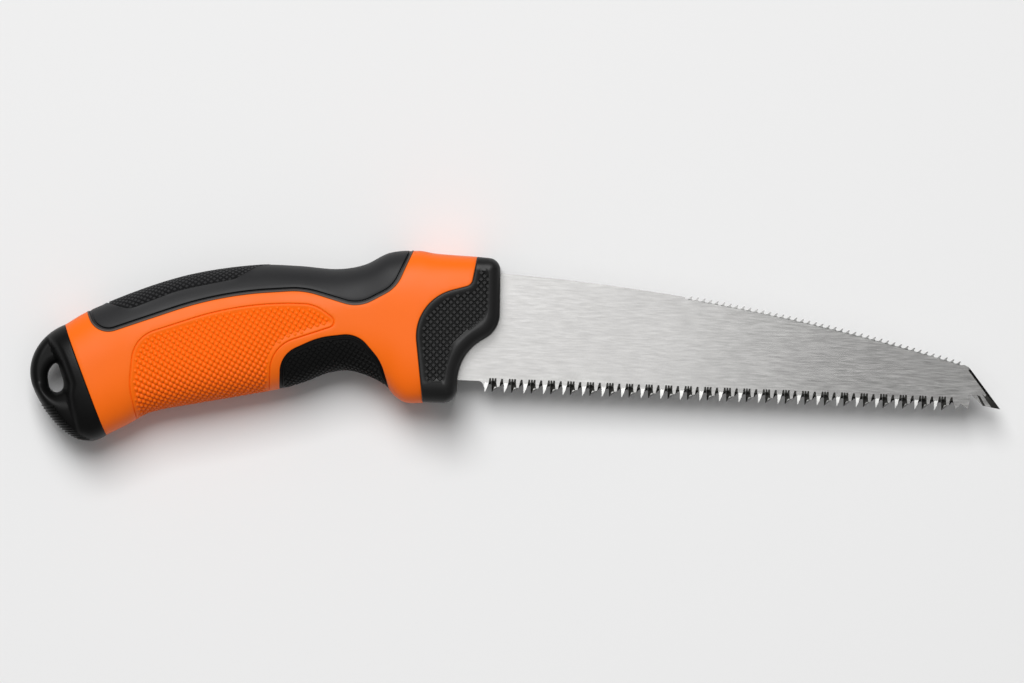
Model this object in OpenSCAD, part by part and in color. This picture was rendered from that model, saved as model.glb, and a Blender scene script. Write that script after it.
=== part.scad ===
// Pruning saw with a fixed blade, lying on its flank.
// Drawing frame: x = 0 on the guard's front face and grows towards the tip,
// y = 0 on the tooth line and grows towards the spine, z = 0 in the blade's middle.

/* [Blade] */
// Thickness of the blade steel
blade_t = 1.2; // [0.8:0.1:2]
// Reach of the tip past the guard's front face
blade_reach = 168.4; // [150:0.2:190]
// Height of the blade's back over the tooth line at the guard
blade_h = 39; // [36:0.5:40]
// Fall of the back as it leaves the guard, per millimetre
back_fall = 0.047; // [0:0.001:0.08]
// Length of the plain back ahead of the guard, up to the fine teeth
plain_back_l = 62; // [40:1:80]
// Height of the back at the nose
nose_h = 15; // [12:0.2:18]
// Length of the chisel nose
nose_l = 10.6; // [8:0.2:12]
// Height of the plain heel edge over the tooth line
heel_h = 3.5; // [2:0.1:4]
// Depth of the blade's full height behind the guard's front face
root_l = 20; // [18:0.5:24]
// Length of the tang behind the guard's front face
tang_l = 74; // [70:1:78]
// Height of the tang
tang_h = 15; // [14:0.5:17]
// Height of the tang's middle over the tooth line
tang_y = 21.5; // [20:0.5:22.5]

/* [Teeth] */
// Length of one group of three large teeth
group_l = 6.52; // [6:0.02:9]
// Depth of the tall teeth
tooth_h = 4.5; // [3:0.1:6]
// How far the third tooth stays short of the tall ones
raker_short = 2; // [1:0.1:2.5]
// Pitch of the fine teeth on the back
fine_pitch = 2.2; // [1.8:0.1:4]
// Depth of the fine teeth
fine_h = 1.2; // [0.6:0.1:1.8]
// How far the fine tips stand over the plain back
fine_rise = 0.6; // [0:0.1:0.8]

/* [Handle] */
// Length of the body along the spine, from the butt seam to the guard's front face
body_l = 144; // [138:1:152]
// Thickness of the handle over the palm swell
palm_thick = 29; // [26:0.5:32]
// Thickness of the handle over the finger arch
waist_thick = 25; // [24:0.5:27]
// Thickness of the handle at the butt seam
butt_thick = 26; // [24:0.5:29]
// Height of the spine at the thumb rest
thumb_h = 46; // [45:0.5:48]
// Height of the spine over the palm swell
swell_h = 39.3; // [38:0.5:41]
// Height of the finger arch
arch_h = 5.2; // [3:0.2:6]
// Drop of the front hook below the tooth line
hook_drop = 4.6; // [4:0.1:6]
// Wall of the shells under the grips
wall = 2.5; // [2:0.1:3]

/* [Grips] */
// Depth of the soft grips
grip_depth = 2; // [1.5:0.1:2.5]

/* [Guard] */
// Thickness across the guard's flat flanks
guard_thick = 29; // [28:0.5:32]
// Wall of the guard over the body's nose
guard_wall = 2.6; // [2:0.1:3]
// Radius of the guard's front edges, seen along the spine
guard_edge_r = 4; // [2:0.5:6]

/* [Butt cap] */
// Length of the cap, square to its seam
cap_l = 17.4; // [16:0.2:20]
// Swell of the cap's lower edge past a plain ellipse
cap_bulge = 1.6; // [0:0.1:2]
// Wall of the cap round the body's plug
cap_wall = 3; // [2.5:0.1:3.5]
// Length of the plug that carries the cap
plug_l = 4; // [3:0.2:5]
// Thickness of the web round the hanging eye
eye_web = 9; // [7:0.5:11]

/* [Fasteners] */
// Diameter of the screws
screw_d = 4; // [3:0.1:4.5]
// Diameter of the screw heads
head_d = 7; // [6:0.1:7.6]
// Height of the screw heads
head_h = 2.2; // [1.8:0.1:2.6]
// Thickness of the washers
washer_t = 0.8; // [0.5:0.1:1]
// Width across the flats of the nuts
nut_w = 7; // [6:0.1:7.4]
// Height of the nuts
nut_h = 3; // [2.4:0.1:3.4]
// Outer diameter of the sleeves in the tang
sleeve_d = 6.5; // [6:0.1:7]
// Length of the sleeves in the tang
sleeve_l = 8; // [6:0.2:9]
// Diameter of the bosses round the screws
boss_d = 11.5; // [10.5:0.1:12]

/* [Fits] */
// Gap all round the grips, the guard and the cap
seat_gap = 0.1; // [0.05:0.05:0.2]
// Gap on each side of the tang and round the fasteners
screw_gap = 0.15; // [0.1:0.05:0.3]

/* [Hidden] */
$fn = 48;

orange = [0.98, 0.45, 0.17];
black = [0.13, 0.13, 0.13];
grey = [0.24, 0.24, 0.25];
steel = [0.80, 0.79, 0.77];
dark_steel = [0.55, 0.56, 0.57];

// A reach past every face of the saw, for cuts that go right through
past = 60;
// Steps along the handle, round half a section and round each corner of an outline
along_step = 4;
half_steps = 12;
corner_steps = 5;
// Degrees between the sections of the rounded cap
cap_step = 12;
// Least half size of a sunk section and least radius of a shrunk corner
least_half = 0.3;
least_r = 0.2;
// How far a bore's cut starts before the face it goes through
cut = 1;

// Half thicknesses
guard_half = guard_thick / 2;
palm_half = palm_thick / 2;
// The body's flank lies this far inside the guard's
guard_step = 0.4;
// The guard's rounded edges come from the body's section, grown by this much
guard_swell = 1;
lowest = max(guard_half, palm_half);

// Spine of the handle as drawn, from the butt seam forwards: the side outlines stretch with it
drawn_spine = [[-144, 16.3], [-137, 20.8], [-116.4, 31], [-99.9, 35.7], [-80, swell_h - 0.2],
               [-66.7, swell_h], [-54, swell_h - 0.5], [-45.1, 40.6], [-36.9, thumb_h - 1.1],
               [-27, thumb_h], [-21.6, 45.3], [-7.6, 44.8], [0, 44.6]];
drawn_seam = drawn_spine[0].x;
stretch = -body_l / drawn_seam;
spine = lengthwise(drawn_spine);

// Butt seam: its top and bottom corner, and the way along and square to it
seam_top = spine[0];
seam_lean = 15.2;
seam_bottom = [seam_top.x + seam_lean, -19.5];
seam_h = norm(seam_bottom - seam_top);
seam_dir = (seam_bottom - seam_top) / seam_h;
seam_out = [seam_dir.y, -seam_dir.x];
// The sections stand square to the tooth line this far ahead of the seam
lean_l = 69 * stretch;
// The cap's crown lies this far down the seam, and its thickness stays full by this power
cap_crown = 15.5;
cap_full = 0.75;

// Belly of the handle, from the butt seam forwards
belly = concat([seam_bottom],
               lengthwise([[-121.2, -15.3], [-114.7, -11.5], [-98.2, -7.6], [-84.9, -4.8], [-70, -1.4],
                           [-62.8, 1.1], [-55.9, arch_h - 1.1], [-49.3, arch_h], [-43, arch_h - 1.4],
                           [-37, 1], [-33.3, -2.7], [-29.9, -hook_drop], [-23.6, -hook_drop],
                           [0, -hook_drop]]));
// Half thickness and squareness of the sections along the spine
half_line = lengthwise([[drawn_seam, butt_thick / 2], [-104, palm_half], [-50, waist_thick / 2],
                        [-22, guard_half - guard_step], [0, guard_half - guard_step]]);
square_line = lengthwise([[drawn_seam, 2.6], [-60, 2.5], [-30, 3.4], [0, 4.5]]);

// Side outlines: corners with their radii, in turn from the lower left
guard_front = lengthwise([[-12.4, -4.2, 4.5], [-12.4, 8.9, 9], [0, 20, 9], [0, 44.3, 4]]);
guard_rear = lengthwise([[-7.6, 44.7, 0], [-10, 33.9, 2.5], [-18.3, 32.8, 5], [-28, 23.5, 9],
                         [-23.9, -4.4, 0]]);
guard_line = concat(guard_front, guard_rear);
// The body's nose inside the guard, and all that lies ahead of the guard's rear edge
nose_line = concat(guard_front, lengthwise([[-42, 44.7, 0], [-42, -4.4, 0]]));
ahead_line = concat([[past, -past, 0], [past, past, 0], [guard_rear[0].x, past, 0]], guard_rear,
                    [[guard_rear[4].x, -past, 0]]);
back_line = lengthwise([[-139.5, 23.5, 0], [-131.8, 14.6, 6], [-88, 30.2, 30], [-66, 32.6, 12],
                        [-48.5, 26, 8], [-34.6, 33.2, 12], [-29.6, 46, 0], [-29.6, past, 0],
                        [-139.5, past, 0]]);
palm_line = lengthwise([[-117, -past, 0], [-74.6, -past, 0], [-74.6, 13.3, 9], [-50.6, 21.1, 2.6],
                        [-64, 28.3, 14], [-100.7, 22, 40], [-121.8, 14.2, 9]]);
finger_line = lengthwise([[-71.3, -past, 0], [-34.6, -past, 0], [-37, 5.8, 14], [-47.5, 19.5, 8],
                          [-72.3, 9.8, 8]]);
// The hanging eye and the dish round it, placed from the seam's top corner
eye_line = moved([[-5, -22.7, 2.8], [0.5, -22.5, 2.2], [0.2, -18.8, 6], [-2.5, -11.1, 1.4],
                  [-6, -14.8, 4]], seam_top);
dish_line = moved([[-6, -24.9, 3], [-0.6, -25.9, 2], [1.5, -21.3, 3], [-5, -3.7, 1],
                   [-8.6, -15.3, 6]], seam_top);

// Stretch of the body that each piece takes, counted from the butt seam
back_span = [2 * stretch, 117 * stretch];
palm_span = [5 * stretch, 95 * stretch];
finger_span = [68 * stretch, 112 * stretch];
nose_span = [99 * stretch, body_l];
hollow_span = [7 * stretch, 107 * stretch];

// Places of the screws; the rear one lies this far inside the tang's end
tang_front = [-15 * stretch, tang_y];
tang_inset = 8;
tang_rear = [tang_inset - tang_l, tang_y];
tang_places = [tang_front, tang_rear];
grip_places = lengthwise([[-110, 6], [-88, 13]]);
// Room over heads and nuts for the flank's curve, and the seats' depth under the floor
flank_curve = 1.2;
seat_sink = head_h + washer_t + flank_curve;
nut_sink = nut_h + flank_curve;
washer_rim = 1;
washer_d = head_d + 2 * washer_rim;
nut_across = nut_w / cos(30);
// Bore for the screws, and the thread, core and reach of the grip screws in the right shell
bore_d = screw_d + 2 * screw_gap;
thread = 0.5;
grip_core = screw_d - 2 * thread;
grip_reach = 7;
// Half the pocket that takes the blade
slot_half = blade_t / 2 + screw_gap;

// Large teeth: the first tip, and the step from the heel's edge down to it
first_tip = -3.6;
tooth_pitch = group_l / 3;
heel_step = [[-2.2, 0], [-1.4, -0.7]];
// The edge's end, in places back from the tip and heights over the tooth line
tip_edge = [[15.4, tooth_h - 1], [15, 0.4], [13.2, 2.4], [10.7, 0.8], [10.1, 5.7], [5.7, 2], [0, 1.1]];
groups = floor((blade_reach - tip_edge[0].x - first_tip) / group_l);
nose_x = blade_reach - nose_l;
// Rounding of the tang's end
tang_end_r = 5;
// Fine teeth: they stop short of the nose
fine_stop = 3;
fine_count = floor((nose_x - fine_stop - plain_back_l) / fine_pitch);

// Middle of the saw's box, which goes to the origin
handle_ys = [for (q = stations(-cap_l, body_l)) each [top_at(q).y, bottom_at(q).y]];
handle_xs = [for (q = stations(-cap_l, 0), a = [0, 180]) section_point(q, a, 0).x];
mid_x = (min(handle_xs) + blade_reach) / 2;
mid_y = (min(handle_ys) + max(handle_ys)) / 2;

// Points whose x stretches with the body
function lengthwise(points) = [for (p = points) [p.x * stretch, p.y, if (len(p) > 2) p.z]];
// Corners moved in the side view
function moved(points, by) = [for (p = points) [p.x + by.x, p.y + by.y, p.z]];
function unit(v) = v / norm(v);
function turned(v, a) = [v.x * cos(a) - v.y * sin(a), v.x * sin(a) + v.y * cos(a)];

// Smooth curve through a list of points, read at x
function slope(line, i) =
    let (a = max(i - 1, 0), b = min(i + 1, len(line) - 1))
    (line[b].y - line[a].y) / (line[b].x - line[a].x);
function piece_of(line, x, i = 0) =
    i >= len(line) - 2 || x <= line[i + 1].x ? i : piece_of(line, x, i + 1);
function curve(line, x) =
    let (i = piece_of(line, x),
         span = line[i + 1].x - line[i].x,
         t = max(0, min(1, (x - line[i].x) / span)),
         u = 1 - t)
    line[i].y * u * u * (1 + 2 * t) + line[i + 1].y * t * t * (1 + 2 * u)
    + span * t * u * (slope(line, i) * u - slope(line, i + 1) * t);

// An outline with its corners rounded
function rounded(corners) =
    [for (i = [0 : len(corners) - 1])
        let (n = len(corners), p = flat(corners[i]), r = corners[i].z,
             before = unit(p - flat(corners[(i + n - 1) % n])),
             after = unit(flat(corners[(i + 1) % n]) - p),
             turn = atan2(cross(before, after), before * after),
             inward = sign(turn) * [-before.y, before.x],
             start = p - before * r * tan(abs(turn) / 2))
        each r == 0 ? [p]
            : [for (k = [0 : corner_steps])
                start + inward * r - turned(inward * r, turn * k / corner_steps)]];
function flat(p) = [p.x, p.y];
// The same outline grown outwards
function grown(corners, by) =
    [for (i = [0 : len(corners) - 1])
        let (n = len(corners), p = flat(corners[i]),
             before = unit(p - flat(corners[(i + n - 1) % n])),
             after = unit(flat(corners[(i + 1) % n]) - p),
             side_a = [before.y, -before.x],
             side_b = [after.y, -after.x],
             q = p + by * (side_a + side_b) / (1 + side_a * side_b),
             r = corners[i].z)
        [q.x, q.y, r == 0 ? 0 : max(least_r, r + sign(cross(before, after)) * by)]];

// Stations run along the handle: below zero into the cap, above zero along the spine
function cap_turn(q) = sqrt(max(0, 1 - pow(q / cap_l, 2)));
function cap_swell(q) = -4 * cap_bulge * q / cap_l * (1 + q / cap_l);
function lean(q) = seam_lean * max(0, 1 - q / lean_l);
function top_at(q) =
    q < 0 ? seam_top - seam_out * q + seam_dir * cap_crown * (1 - cap_turn(q))
          : [q - body_l, curve(spine, q - body_l)];
function bottom_at(q) =
    q < 0 ? seam_top - seam_out * q
            + seam_dir * (cap_crown + (seam_h - cap_crown) * cap_turn(q) + cap_swell(q))
          : let (x = q - body_l + lean(q)) [x, curve(belly, x)];
function half_at(q) = q < 0 ? butt_thick / 2 * pow(cap_turn(q), cap_full) : curve(half_line, q - body_l);
function power_at(q) = curve(square_line, max(q, 0) - body_l);

// A point of the handle's skin, by station and by angle from the spine, sunk by an inset
function bent(v, power) = sign(v) * pow(abs(v), 2 / power);
function section_point(q, angle, inset) =
    let (top = top_at(q), bottom = bottom_at(q), power = power_at(q),
         across = unit(top - bottom),
         half_h = max(least_half, norm(top - bottom) / 2 - inset),
         half_w = max(least_half, half_at(q) - inset),
         p = (top + bottom) / 2 + across * half_h * bent(cos(angle), power))
    [p.x, p.y, half_w * bent(sin(angle), power)];

// Stations between two places, close together in the rounded cap
function stations(from, to) =
    let (count = ceil((to - max(from, 0)) / along_step))
    [if (from < 0) each [for (a = [90 - cap_step / 2 : -cap_step : cap_step]) from * sin(a)],
     if (to > 0) each [for (i = [0 : count]) max(from, 0) + (to - max(from, 0)) * i / count]
     else to];

// Height of the flank at a side view place, sunk by an inset
function station_at(place, q, tries = 6) =
    tries == 0 ? q
    : let (share = (top_at(q).y - place.y) / (top_at(q).y - bottom_at(q).y))
      station_at(place, place.x + body_l - lean(q) * share, tries - 1);
function flank_at(place, inset) =
    let (q = station_at(place, place.x + body_l),
         top = top_at(q), bottom = bottom_at(q), power = power_at(q),
         share = norm(flat(place) - (top + bottom) / 2) / (norm(top - bottom) / 2 - inset))
    (half_at(q) - inset) * pow(1 - pow(share, power), 1 / power);

// A closed skin over rings of points
module skin(rings) {
    n = len(rings[0]);
    last = (len(rings) - 1) * n;
    polyhedron(
        points = [for (ring = rings) each ring],
        faces = concat(
            [for (i = [0 : len(rings) - 2], j = [0 : n - 1])
                let (a = i * n + j, b = i * n + (j + 1) % n)
                each [[a, a + n, b + n], [a, b + n, b]]],
            [for (j = [1 : n - 2]) [0, j, j + 1]],
            [for (j = [1 : n - 2]) [last, last + j + 1, last + j]]));
}

// The handle's whole form, or its half above the blade, sunk by an inset
module form(from, to, inset) {
    skin([for (q = stations(from, to))
        [for (i = [0 : 2 * half_steps - 1]) section_point(q, 180 * i / half_steps, inset)]]);
}

module half_form(from, to, inset) {
    skin([for (q = stations(from, to))
        [for (i = [0 : half_steps]) section_point(q, 180 * i / half_steps, inset)]]);
}

// A side outline carried right through the handle
module through(corners) {
    linear_extrude(2 * past, center = true)
        polygon(rounded(corners));
}

// A soft grip: the handle's skin inside its outline
module grip(corners, span) {
    intersection() {
        difference() {
            form(span[0], span[1], 0);
            form(span[0] - cut, span[1] + cut, grip_depth);
        }
        through(corners);
    }
}

// The recess that takes a grip
module recess(corners, span) {
    difference() {
        through(grown(corners, seat_gap));
        form(span[0] - along_step, span[1] + along_step, grip_depth + seat_gap);
    }
}

// The body's nose, which the guard slides over
module nose(gap) {
    intersection() {
        form(nose_span[0], nose_span[1], guard_wall - gap);
        through(grown(nose_line, gap - guard_wall));
    }
}

// The body's plug, which carries the cap
module plug(length, gap) {
    form(-length, along_step, cap_wall - gap);
}

// Upright cylinder at a side view place, between two heights
module post(place, d, from, to) {
    translate([place.x, place.y, from])
        cylinder(d = d, h = to - from);
}

// Pocket for the blade's root and tang in the parting plane
module blade_pocket() {
    translate([-root_l - screw_gap, heel_h - screw_gap, -slot_half])
        cube([root_l + past, blade_h - heel_h + 2 * screw_gap, 2 * slot_half]);
    translate([-tang_l - screw_gap, tang_y - tang_h / 2 - screw_gap, -slot_half])
        cube([tang_l, tang_h + 2 * screw_gap, 2 * slot_half]);
}

// One half of the body before its screw holes, above the blade
module half_body() {
    difference() {
        union() {
            difference() {
                half_form(0, body_l, 0);
                through(grown(ahead_line, seat_gap));
                form(hollow_span[0], hollow_span[1], grip_depth + wall);
            }
            intersection() {
                union() {
                    nose(0);
                    plug(plug_l, 0);
                }
                translate([-past - body_l, -past, 0])
                    cube([past + body_l, 2 * past, past]);
            }
            for (place = concat([tang_rear], grip_places))
                post(place, boss_d, 0, flank_at(place, grip_depth + wall / 2));
        }
        recess(back_line, back_span);
        recess(palm_line, palm_span);
        recess(finger_line, finger_span);
        blade_pocket();
    }
}

// Seats of the heads and the nuts, counted from the blade's middle
function floor_at(place) =
    flank_at(place, place == tang_front ? guard_wall : grip_depth);
function head_seat(place) = floor_at(place) - seat_sink;
function nut_seat(place) = floor_at(place) - nut_sink;

module left_shell() {
    color(orange)
    difference() {
        half_body();
        for (place = concat(tang_places, grip_places)) {
            post(place, bore_d, -cut, past);
            post(place, washer_d + 2 * screw_gap, head_seat(place), past);
        }
        for (place = tang_places)
            post(place, sleeve_d + 2 * screw_gap, -cut, sleeve_l / 2 + screw_gap);
    }
}

module right_shell() {
    color(orange)
    mirror([0, 0, 1])
    difference() {
        half_body();
        for (place = tang_places) {
            post(place, bore_d, -cut, past);
            post(place, sleeve_d + 2 * screw_gap, -cut, sleeve_l / 2 + screw_gap);
            translate([place.x, place.y, nut_seat(place)])
                cylinder(d = nut_across + 2 * screw_gap, h = past, $fn = 6);
        }
        for (place = grip_places)
            post(place, grip_core + 2 * screw_gap, -cut, grip_reach + screw_gap);
    }
}

module blade() {
    color(steel)
    linear_extrude(blade_t, center = true)
        difference() {
            polygon(concat(lower_edge(), back_edge(), tang_edge()));
            for (place = tang_places)
                translate(place)
                    circle(d = sleeve_d + 2 * screw_gap);
        }
}

// Heel, large teeth and nose, from the guard to the tip
function lower_edge() = concat(
    [[-root_l, heel_h], for (p = heel_step) [first_tip + p.x, heel_h + p.y]],
    [for (g = [0 : groups - 1], k = [0 : 2])
        let (x = first_tip + g * group_l + k * tooth_pitch)
        each [if (g + k > 0) [x, tooth_h], [x, k == 2 ? raker_short : 0]]],
    [for (p = tip_edge) [blade_reach - p.x, p.y]]);

// Height of the blade's back, which falls away in a long curve
function back_at(x) =
    blade_h - back_fall * x - (blade_h - back_fall * nose_x - nose_h) * pow(x / nose_x, 2);

// Back of the blade, from the nose to the guard: each fine tooth is a tip and a flat gullet
fine_tooth = [[0.9, fine_rise], [0.35, fine_rise - fine_h], [0, fine_rise - fine_h]];
function back_edge() = concat(
    [[nose_x, nose_h]],
    [for (k = [fine_count - 1 : -1 : 0])
        each [for (p = fine_tooth)
            let (x = plain_back_l + (k + p.x) * fine_pitch)
            [x, back_at(x) + p.y]]],
    [for (share = [1 : -0.2 : 0])
        [plain_back_l * share, back_at(plain_back_l * share)]],
    [[-root_l / 2, blade_h]]);
// Root and tang inside the handle
function tang_edge() = rounded([
    [-root_l, tang_y + tang_h / 2, 0], [-tang_l, tang_y + tang_h / 2, tang_end_r],
    [-tang_l, tang_y - tang_h / 2, tang_end_r], [-root_l, tang_y - tang_h / 2, 0]]);

module front_guard() {
    color(black)
    difference() {
        intersection() {
            linear_extrude(guard_thick, center = true)
                polygon(rounded(guard_line));
            form(nose_span[0], nose_span[1], -guard_swell);
            rotate([90, 0, 0])
                through([[-past, -guard_half, 0], [0, -guard_half, guard_edge_r],
                         [0, guard_half, guard_edge_r], [-past, guard_half, 0]]);
        }
        nose(seat_gap);
        blade_pocket();
    }
}

module butt_cap() {
    color(black)
    difference() {
        form(-cap_l, 0, 0);
        plug(plug_l + seat_gap, seat_gap);
        through(eye_line);
        for (side = [0, 1])
            mirror([0, 0, side])
                translate([0, 0, eye_web / 2])
                    linear_extrude(past)
                        polygon(rounded(dish_line));
    }
}

module back_grip() {
    color(grey)
    grip(back_line, back_span);
}

module palm_grip() {
    color(orange)
    grip(palm_line, palm_span);
}

module finger_grip() {
    color(black)
    grip(finger_line, finger_span);
}

module tang_screws() {
    color(dark_steel)
    for (place = tang_places) {
        seat = head_seat(place) + washer_t;
        post(place, screw_d, -nut_seat(place) - nut_h, seat + head_h);
        post(place, head_d, seat, seat + head_h);
    }
}

module tang_washers() {
    color(dark_steel)
    for (place = tang_places)
        let (seat = head_seat(place))
        difference() {
            post(place, washer_d, seat, seat + washer_t);
            post(place, bore_d, seat - cut, seat + washer_t + cut);
        }
}

module tang_nuts() {
    color(dark_steel)
    for (place = tang_places)
        let (seat = nut_seat(place))
        difference() {
            translate([place.x, place.y, -seat - nut_h])
                cylinder(d = nut_across, h = nut_h, $fn = 6);
            post(place, bore_d, -seat - nut_h - cut, -seat + cut);
        }
}

module tang_sleeves() {
    color(dark_steel)
    for (place = tang_places)
        difference() {
            post(place, sleeve_d, -sleeve_l / 2, sleeve_l / 2);
            post(place, bore_d, -sleeve_l / 2 - cut, sleeve_l / 2 + cut);
        }
}

module grip_screws() {
    color(dark_steel)
    for (place = grip_places) {
        seat = head_seat(place);
        post(place, grip_core, -grip_reach, seat + head_h);
        post(place, head_d, seat, seat + head_h);
    }
}

// Every piece in its place, with the saw's flank on the ground
module placed() {
    translate([-mid_x, -mid_y, lowest])
        children();
}

placed() blade();
placed() left_shell();
placed() right_shell();
placed() front_guard();
placed() butt_cap();
placed() back_grip();
placed() palm_grip();
placed() finger_grip();
placed() tang_screws();
placed() tang_washers();
placed() tang_nuts();
placed() tang_sleeves();
placed() grip_screws();
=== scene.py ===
"""Looks of a fixed-blade pruning saw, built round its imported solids.

Drawing places are in millimetres: x = 0 on the guard's front face and grows towards the tip, y = 0 on the
tooth line and grows towards the spine, z = 0 in the blade's middle. Finished meshes are in the row's metres.
"""

import logging
import math
from collections.abc import Sequence
from dataclasses import dataclass, field
from enum import Enum

import bpy
import numpy as np
from mathutils import Matrix, Vector
from mathutils.geometry import delaunay_2d_cdt


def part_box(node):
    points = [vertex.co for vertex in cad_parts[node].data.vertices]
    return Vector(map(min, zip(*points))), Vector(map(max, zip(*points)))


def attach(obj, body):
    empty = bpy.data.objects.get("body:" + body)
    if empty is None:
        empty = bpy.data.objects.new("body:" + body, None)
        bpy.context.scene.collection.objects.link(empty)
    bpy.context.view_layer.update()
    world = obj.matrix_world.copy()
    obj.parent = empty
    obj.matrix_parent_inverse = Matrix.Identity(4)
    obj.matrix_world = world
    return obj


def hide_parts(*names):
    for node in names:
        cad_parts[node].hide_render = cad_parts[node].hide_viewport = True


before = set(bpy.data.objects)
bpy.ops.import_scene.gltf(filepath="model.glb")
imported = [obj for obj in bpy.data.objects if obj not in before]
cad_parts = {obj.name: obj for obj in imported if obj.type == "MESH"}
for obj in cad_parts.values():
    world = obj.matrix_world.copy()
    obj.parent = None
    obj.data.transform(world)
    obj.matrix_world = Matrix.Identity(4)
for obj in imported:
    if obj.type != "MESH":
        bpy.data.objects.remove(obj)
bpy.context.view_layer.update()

LOG = logging.getLogger("pruning_saw")
MM = 0.001
BODY = "root"
BLADE_REACH = 168.4
TINY = 1e-12
SLIGHT = 1e-6
# Takes a point of the upper flank to its place on the lower one
FLIP = np.array([1.0, 1.0, -1.0])
# Points measured at a time, so that the tables stay small
CHUNK = 2000
# Part of a grid's spacing that its points keep clear of a line
CLEAR_SHARE = 0.55
# Triangulation: keep what lies inside the outer loop, and join points closer than this
INSIDE_ONLY = 1
JOIN_GAP = 1e-7

Corner = tuple[float, float, float]
Color = tuple[float, float, float]


class Slot(Enum):
    """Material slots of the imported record."""

    BLADE = "blade_steel"
    BODY = "orange_body"
    PALM = "palm_orange"
    GUARD = "guard_rubber"
    BACK = "grip_rubber"
    FINGER = "finger_rubber"
    CAP = "cap_black"
    FASTENER = "fastener_steel"


class Ground(Enum):
    """Colour of a face of the blade: plain steel, a ground face in bright steel as a painted highlight, or a
    ground face in near-black steel as painted shade.
    """

    FLAT = 0
    BRIGHT_PAINTED_HIGHLIGHT = 1
    DARK = 2


class Rail(Enum):
    """Lines along the handle that a pattern is laid from, by their girth."""

    SPINE = 0.0
    BELLY = 1.0


def drawing_origin() -> np.ndarray:
    """Place of the drawing's origin in the row frame, in millimetres, read from the blade's box."""
    low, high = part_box("blade")
    return np.array([high.x / MM - BLADE_REACH, low.y / MM, (low.z + high.z) / 2 / MM])


ORIGIN = drawing_origin()


# Small geometry helpers


def unit(vectors: np.ndarray) -> np.ndarray:
    """Vectors at length one."""
    return vectors / np.maximum(np.linalg.norm(vectors, axis=-1, keepdims=True), TINY)


def turned(vector: np.ndarray, angle: float) -> np.ndarray:
    """A flat vector turned to the left by an angle."""
    c, s = math.cos(angle), math.sin(angle)
    return np.array([vector[0] * c - vector[1] * s, vector[0] * s + vector[1] * c])


def loop_area(loop: np.ndarray) -> float:
    """Signed area of a closed flat loop."""
    ahead = np.roll(loop, -1, axis=0)
    return float(np.sum(loop[:, 0] * ahead[:, 1] - loop[:, 1] * ahead[:, 0]) / 2)


def lengths_along(points: np.ndarray) -> np.ndarray:
    """Distance of each point from the first, along the line."""
    return np.concatenate([[0.0], np.cumsum(np.linalg.norm(np.diff(points, axis=0), axis=1))])


def read_at(places: np.ndarray, along: np.ndarray, values: np.ndarray) -> np.ndarray:
    """Rows of values read at places along a line."""
    return np.stack([np.interp(places, along, column) for column in values.T], axis=1)


def spaced(values: np.ndarray, along: np.ndarray, step: float) -> np.ndarray:
    """Rows of values read at even steps along a line.

    Args:
        values: One row for each point of the line.
        along: Distance of each point along the line.
        step: Distance between the new points.

    Returns:
        The rows at the new points, with both ends kept.
    """
    count = max(2, int(math.ceil(along[-1] / step)) + 1)
    return read_at(np.linspace(0.0, along[-1], count), along, values)


def rounded(corners: Sequence[Corner], step: float = 0.25) -> np.ndarray:
    """A closed side outline with its corners rounded.

    Args:
        corners: Places in the drawing with the radius of each corner.
        step: Distance between the points.

    Returns:
        Closely spaced points of the outline.
    """
    places = np.array([corner[:2] for corner in corners])
    line: list[np.ndarray] = []
    for i, (place, corner) in enumerate(zip(places, corners)):
        before = unit(place - places[i - 1])
        after = unit(places[(i + 1) % len(places)] - place)
        turn = math.atan2(before[0] * after[1] - before[1] * after[0], float(before @ after))
        radius = corner[2]
        if radius == 0 or abs(turn) < SLIGHT:
            line.append(place)
            continue
        inward = math.copysign(radius, turn) * np.array([-before[1], before[0]])
        start = place - before * radius * math.tan(abs(turn) / 2)
        count = max(2, int(math.ceil(radius * abs(turn) / step)))
        line.extend(start + inward - turned(inward, turn * k / count) for k in range(count + 1))
    loop = np.array([*line, line[0]])
    return spaced(loop, lengths_along(loop), step)[:-1]


def inside(points: np.ndarray, loop: np.ndarray) -> np.ndarray:
    """Which flat points lie inside a closed loop."""
    x, y = points[:, :1], points[:, 1:]
    (ax, ay), (bx, by) = loop.T, np.roll(loop, -1, axis=0).T
    crosses = (ay > y) != (by > y)
    rise = np.where(by == ay, TINY, by - ay)
    return np.sum(crosses & (x < (bx - ax) * (y - ay) / rise + ax), axis=1) % 2 == 1


def distance_to(points: np.ndarray, loop: np.ndarray) -> np.ndarray:
    """Distance of flat points from a closed loop's line."""
    a, b = loop, np.roll(loop, -1, axis=0)
    way = b - a
    length = np.maximum(np.sum(way * way, axis=1), TINY)
    best = np.full(len(points), np.inf)
    for start in range(0, len(points), CHUNK):
        some = points[start:start + CHUNK, None, :] - a[None]
        share = np.clip(np.sum(some * way, axis=2) / length, 0.0, 1.0)
        gap = some - share[..., None] * way
        best[start:start + CHUNK] = np.sqrt(np.min(np.sum(gap * gap, axis=2), axis=1))
    return best


def inset(loop: np.ndarray, by: float | np.ndarray) -> np.ndarray:
    """A closed flat loop moved inwards, by one distance or by one for each point."""
    tangent = unit(np.roll(loop, -1, axis=0) - np.roll(loop, 1, axis=0))
    inward = math.copysign(1.0, loop_area(loop)) * np.stack([-tangent[:, 1], tangent[:, 0]], axis=1)
    return loop + inward * np.reshape(by, (-1, 1))


def soft_min(a: np.ndarray, b: np.ndarray, soften: float) -> np.ndarray:
    """The lesser of two heights, rounded where they come within a distance of each other."""
    share = np.clip(0.5 + 0.5 * (a - b) / soften, 0.0, 1.0)
    return a * (1 - share) + b * share - soften * share * (1 - share)


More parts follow.
